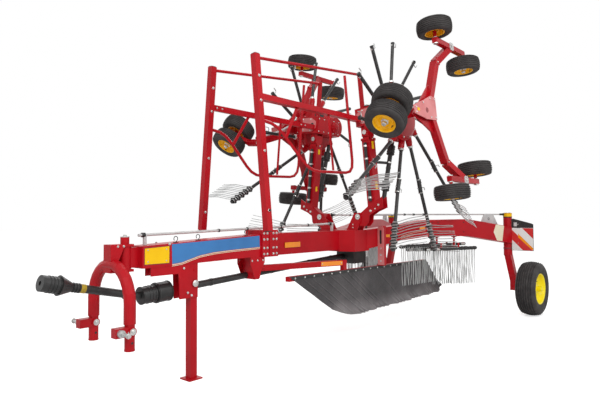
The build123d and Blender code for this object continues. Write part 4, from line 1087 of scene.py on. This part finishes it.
def arm_shaft_rings(shape):
    """Bellows and bands of the drive shaft beside the lift arm."""
    top, low = Vector((-0.114, -0.210, 0.150)), Vector((0.110, -0.960, 0.218))
    way = (low - top).normalized()
    bellows = [(0.0445, -0.004), (0.0485, -0.003), (0.0485, 0.003), (0.0445, 0.004)]
    for back in (0.118, 0.150, 0.182, 0.212):
        for spot in (top + way * back, low - way * back):
            shape.lathe(bellows, spot, way, 24, plastic)
    for share in (0.42, 0.50, 0.60, 0.70, 0.78):
        paint = plastic if 0.45 < share < 0.75 else bright
        shape.lathe(rect(0.0265, -0.009, 0.0300, 0.009), top + (low - top) * share, way, 20, paint)


def add_lift_fittings(label, side):
    hinge_bolts(label, side)
    crank_bolts(label, side)
    shape = Shape(red)
    sleeve_collar(shape)
    pipe_clips(shape)
    arm_shaft_rings(shape)
    shape.piece(f"sleeve_fittings_{label}", f"lift_arm_{label}", unit(side))


DECK_Z = -0.4468
GUARD_X, GUARD_Z = 2.000, 0.270


def gearbox_fittings(shape):
    """The bolted cover, the bearing cap and the flanges of the rotor's gearbox."""
    cover = rect(-0.060, -0.092, 0.360, 0.092)
    shape.plate(cover, (0, 0, 0.3325), AHEAD, OUTWARD, 0.006)
    for x in (-0.045, 0.055, 0.150, 0.245, 0.345):
        for y in (-0.078, 0.078):
            shape.bolt((x, y, 0.3355), UP, 0.008)
    cap = [(0, 0), (0.070, 0), (0.070, 0.012), (0.058, 0.020), (0.030, 0.022), (0.026, 0.034), (0, 0.034)]
    shape.lathe(cap, (0.020, 0, 0.335), UP, 36)
    for k in range(8):
        a = TURN * k / 8
        shape.bolt((0.020 + 0.062 * math.cos(a), 0.062 * math.sin(a), 0.347), UP, 0.0055)
    half = [(0.085, 0.085), (0.085, 0.240), (0.040, 0.310)]
    front = [(-0.085, 0.085)] + half + [(-y, z) for y, z in half[:0:-1]]
    # The front flange is pale pink: painted highlight on its red paint.
    shape.plate(front, (0.3780, 0, 0), OUTWARD, UP, 0.006, highlight_pink)
    for y, z in ((-0.068, 0.102), (0.068, 0.102), (-0.068, 0.225), (0.068, 0.225)):
        shape.bolt((0.3805, y, z), AHEAD, 0.009)
    shape.disc(0.024, 0.001, (0.3806, 0, 0.255), AHEAD, 24, plastic)
    shape.bar((0.250, 0.105, 0.250), (0.250, 0.150, 0.250), 0.075, 0.100, paint=plastic, chamfer=0.008)
    shape.tube([(0.250, 0.150, 0.250), (0.250, 0.176, 0.250)], 0.012, 12, bright)
    for x, z in ((-0.050, 0.300), (0.100, 0.300), (0.200, 0.300), (0.350, 0.100), (0.350, 0.300)):
        shape.bolt((x, 0.105, z), OUTWARD, 0.009)


def deck_fittings(shape):
    """The plate under the running gear, painted pale pink as a highlight on its red, with its bolts and
    marks.
    """
    deck = [(0.402, -0.032), (0.181, 0.053), (-0.012, 0.137), (-0.120, 0.130), (-0.120, -0.130),
            (-0.029, -0.138), (0.120, -0.150), (0.380, -0.118)]
    # The plate's pale pink is painted highlight on red paint.
    shape.plate([(-x, y) for x, y in deck], (0, 0, -0.4435), -AHEAD, OUTWARD, 0.007, highlight_pink)
    shape.disc(0.030, 0.0010, (0.102, -0.045, DECK_Z), -UP, 28, deep_red)
    shape.plate(rect(-0.320, -0.080, -0.270, -0.046), (0, 0, -0.4474), -AHEAD, OUTWARD, 0.0008, panel_yellow)
    for x, y in ((-0.090, 0.105), (-0.090, -0.105), (0.010, 0.100), (0.180, 0.030), (0.020, -0.115),
                 (0.345, -0.100), (0.345, -0.045)):
        shape.bolt((x, y, DECK_Z), -UP, 0.011)


def rocker_fittings(shape):
    """Pivot plates, axle collars and elbow gussets on the bogies' legs and rockers."""
    for hand in ENDS:
        spot = Vector((-0.525, hand * ROCKER_Y, RUN_Z))
        shape.plate([(-0.050, -0.022), (-0.030, -0.046), (0.030, -0.046), (0.050, -0.022), (0.050, 0.022),
                     (0.030, 0.046), (-0.030, 0.046), (-0.050, 0.022)],
                    spot - UP * 0.0335, -AHEAD, OUTWARD, 0.007, pale)
        shape.pin_head(0.020, 0.006, spot - UP * 0.037, -UP, 24, 0.0055, 0.012)
        collar = [(0.021, 0), (0.029, 0), (0.029, 0.010), (0.021, 0.012)]
        for x in (FRONT_WHEEL_X, REAR_WHEEL_X):
            for end in ENDS:
                shape.lathe(collar, (x, hand * ROCKER_Y + end * 0.030, RUN_Z), OUTWARD * end, 20, bright)
        elbow = Vector((-0.300, hand * 0.5994, -0.4405))
        shape.plate([(-0.050, -0.030), (0.050, -0.030), (0.034, 0.050), (-0.034, 0.050)],
                    elbow, -AHEAD, OUTWARD * hand, 0.006)
        shape.bolt(elbow - UP * 0.003, -UP, 0.010)


def castor_fittings(shape):
    """Pins on the castor's arm and the tilt joint, and the two pale rods beside the arm."""
    shape.pin_head(0.034, 0.007, (CASTOR_X, CASTOR_Y, -0.1605), UP, 28, 0.0065, 0.015)
    for end in ENDS:
        kink = Vector((0.448, -0.1405 + end * 0.0400, -0.225))
        shape.pin_head(0.026, 0.005, kink, OUTWARD * end, 24, 0.004, 0.013)
        tilt = Vector((SLEEVE_X + end * 0.0685, -0.175, SLEEVE_Z))
        shape.disc(0.027, 0.005, tilt, AHEAD * end, 24, bright)
    for rise in (0.0, 0.038):
        rod = [(0.060, 0.070, -0.352 + rise), (0.450, -0.085, -0.262 + rise), (0.845, -0.215, -0.248 + rise)]
        shape.tube(rod, 0.0085, 10, pale)
    for x, y, z in ((0.085, 0.060, -0.330), (0.840, -0.214, -0.229)):
        shape.bar((x, y, z - 0.030), (x, y, z + 0.030), 0.022, 0.030, OUTWARD, plastic, 0.004)


def guard_fittings(shape):
    """Bolts, end plugs, stays and clamps on the guard frame."""
    for y in (0.161, -0.075, -0.550, -1.100):
        shape.bolt((GUARD_X, y, 0.238), -UP, 0.013)
        shape.bolt((GUARD_X, y, 0.302), UP, 0.013)
    for y, way in ((0.375, 1), (-1.285, -1)):
        foot = Vector((GUARD_X, y, GUARD_Z))
        shape.bar(foot, foot + OUTWARD * way * 0.006, 0.058, 0.058, AHEAD, plastic, 0.006)
    shape.bar((1.462, -0.050, GUARD_Z), (1.655, -0.372, GUARD_Z), 0.034, 0.010, chamfer=0.002)
    shape.bar((0.960, -0.050, GUARD_Z), (0.960, -0.660, GUARD_Z), 0.030, 0.010, chamfer=0.002)
    for x in (1.900, 0.600):
        shape.plate(rect(-0.050, -0.028, 0.050, 0.028), (x, -0.032, 0.3005), AHEAD, OUTWARD, 0.006)
        for step in (-0.034, 0.034):
            shape.bolt((x + step, -0.032, 0.3030), UP, 0.009)
    shape.tube([(GUARD_X, -1.100, 0.238), (GUARD_X, -1.100, 0.220)], 0.010, 10, plastic)


def add_carrier_fittings(label, side):
    shape = Shape(red)
    for add in (gearbox_fittings, deck_fittings, rocker_fittings, castor_fittings, guard_fittings):
        add(shape)
    shape.piece(f"carrier_fittings_{label}", f"rotor_head_{label}", unit(side))


add_drawbar_bolts()
add_drive_rings()
both_sides(add_lift_fittings, add_carrier_fittings)


# Finishes on the solids
def on_both(*names):
    return [f"{name}_{label}" for name in names for label, side in SIDES]


RED_NODES = ["main_beam", "centre_frame", "curtain_arm", "headstock", "parking_stand"]
RED_NODES += on_both("rear_arm", "knuckle", "lift_arm", "slide_tube", "rotor_head", "guard", "castor_fork")
FINISHES = (
    (red, RED_NODES), (dark_steel, ["drive_line", "tractor_shaft"]), (plastic, on_both("arm_drive")),
    (galvanised, ["link_pins"]), (pale, ["steering_rod"]),
)


def paint_solids():
    for paint, names in FINISHES:
        for name in names:
            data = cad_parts[name].data
            data.materials.clear()
            data.materials.append(paint)


paint_solids()


# Floor, lamps and world
FLOOR_HALF = 60
FLOOR_GLOW = 0.62
WORLD_LEVEL = 0.5
# Each lamp: its place, its size, its power and the point that it faces
LAMPS = (
    ((7.5, 4.5, 6.5), 4.0, 330, (0, 0, 1.2)),
    ((1.0, 7.5, 5.5), 4.0, 220, (0, 0, 1.4)),
    ((-5.0, -5.0, 7.0), 5.0, 200, (0, 0, 1.2)),
)


def add_floor():
    made, tree, shader = node_tree("floor")
    tree.nodes.remove(shader)
    rays = tree.nodes.new("ShaderNodeLightPath").outputs
    glow = node_of(tree, "Emission", Strength=maths(tree, "MULTIPLY", rays["Is Camera Ray"], FLOOR_GLOW))
    diffuse = node_of(tree, "BsdfDiffuse", Color=(0.80, 0.80, 0.80, 1))
    total = tree.nodes.new("ShaderNodeAddShader")
    for part, socket in zip((diffuse, glow), total.inputs):
        tree.links.new(part.outputs[0], socket)
    feed(tree, tree.nodes["Material Output"], Surface=total.outputs[0])
    data = bpy.data.meshes.new("floor")
    w = FLOOR_HALF
    data.from_pydata([(-w, -w, 0), (w, -w, 0), (w, w, 0), (-w, w, 0)], [], [(0, 1, 2, 3)])
    data.materials.append(made)
    add_object("floor", data)


def add_lamps():
    for index, (spot, size, power, target) in enumerate(LAMPS):
        data = bpy.data.lights.new(f"lamp_{index}", "AREA")
        data.energy = power
        data.size = size
        lamp = add_object(f"lamp_{index}", data)
        lamp.location = spot
        lamp.rotation_euler = (Vector(target) - Vector(spot)).to_track_quat("-Z", "Y").to_euler()


def set_world():
    """Plain white light, shown at full white to the camera and in reflections."""
    world = bpy.data.worlds.new("studio")
    bpy.context.scene.world = world
    world.use_nodes = True
    tree = world.node_tree
    rays = tree.nodes.new("ShaderNodeLightPath").outputs
    seen = maths(tree, "ADD", rays["Is Camera Ray"], rays["Is Glossy Ray"])
    seen = maths(tree, "ADD", seen, rays["Is Transmission Ray"])
    level = node_of(tree, "MapRange", Value=seen, To_Min=WORLD_LEVEL, To_Max=1.0)
    feed(tree, tree.nodes["Background"], Color=(1, 1, 1, 1), Strength=level.outputs["Result"])


add_floor()
add_lamps()
set_world()
bpy.context.scene.view_settings.view_transform = "Standard"
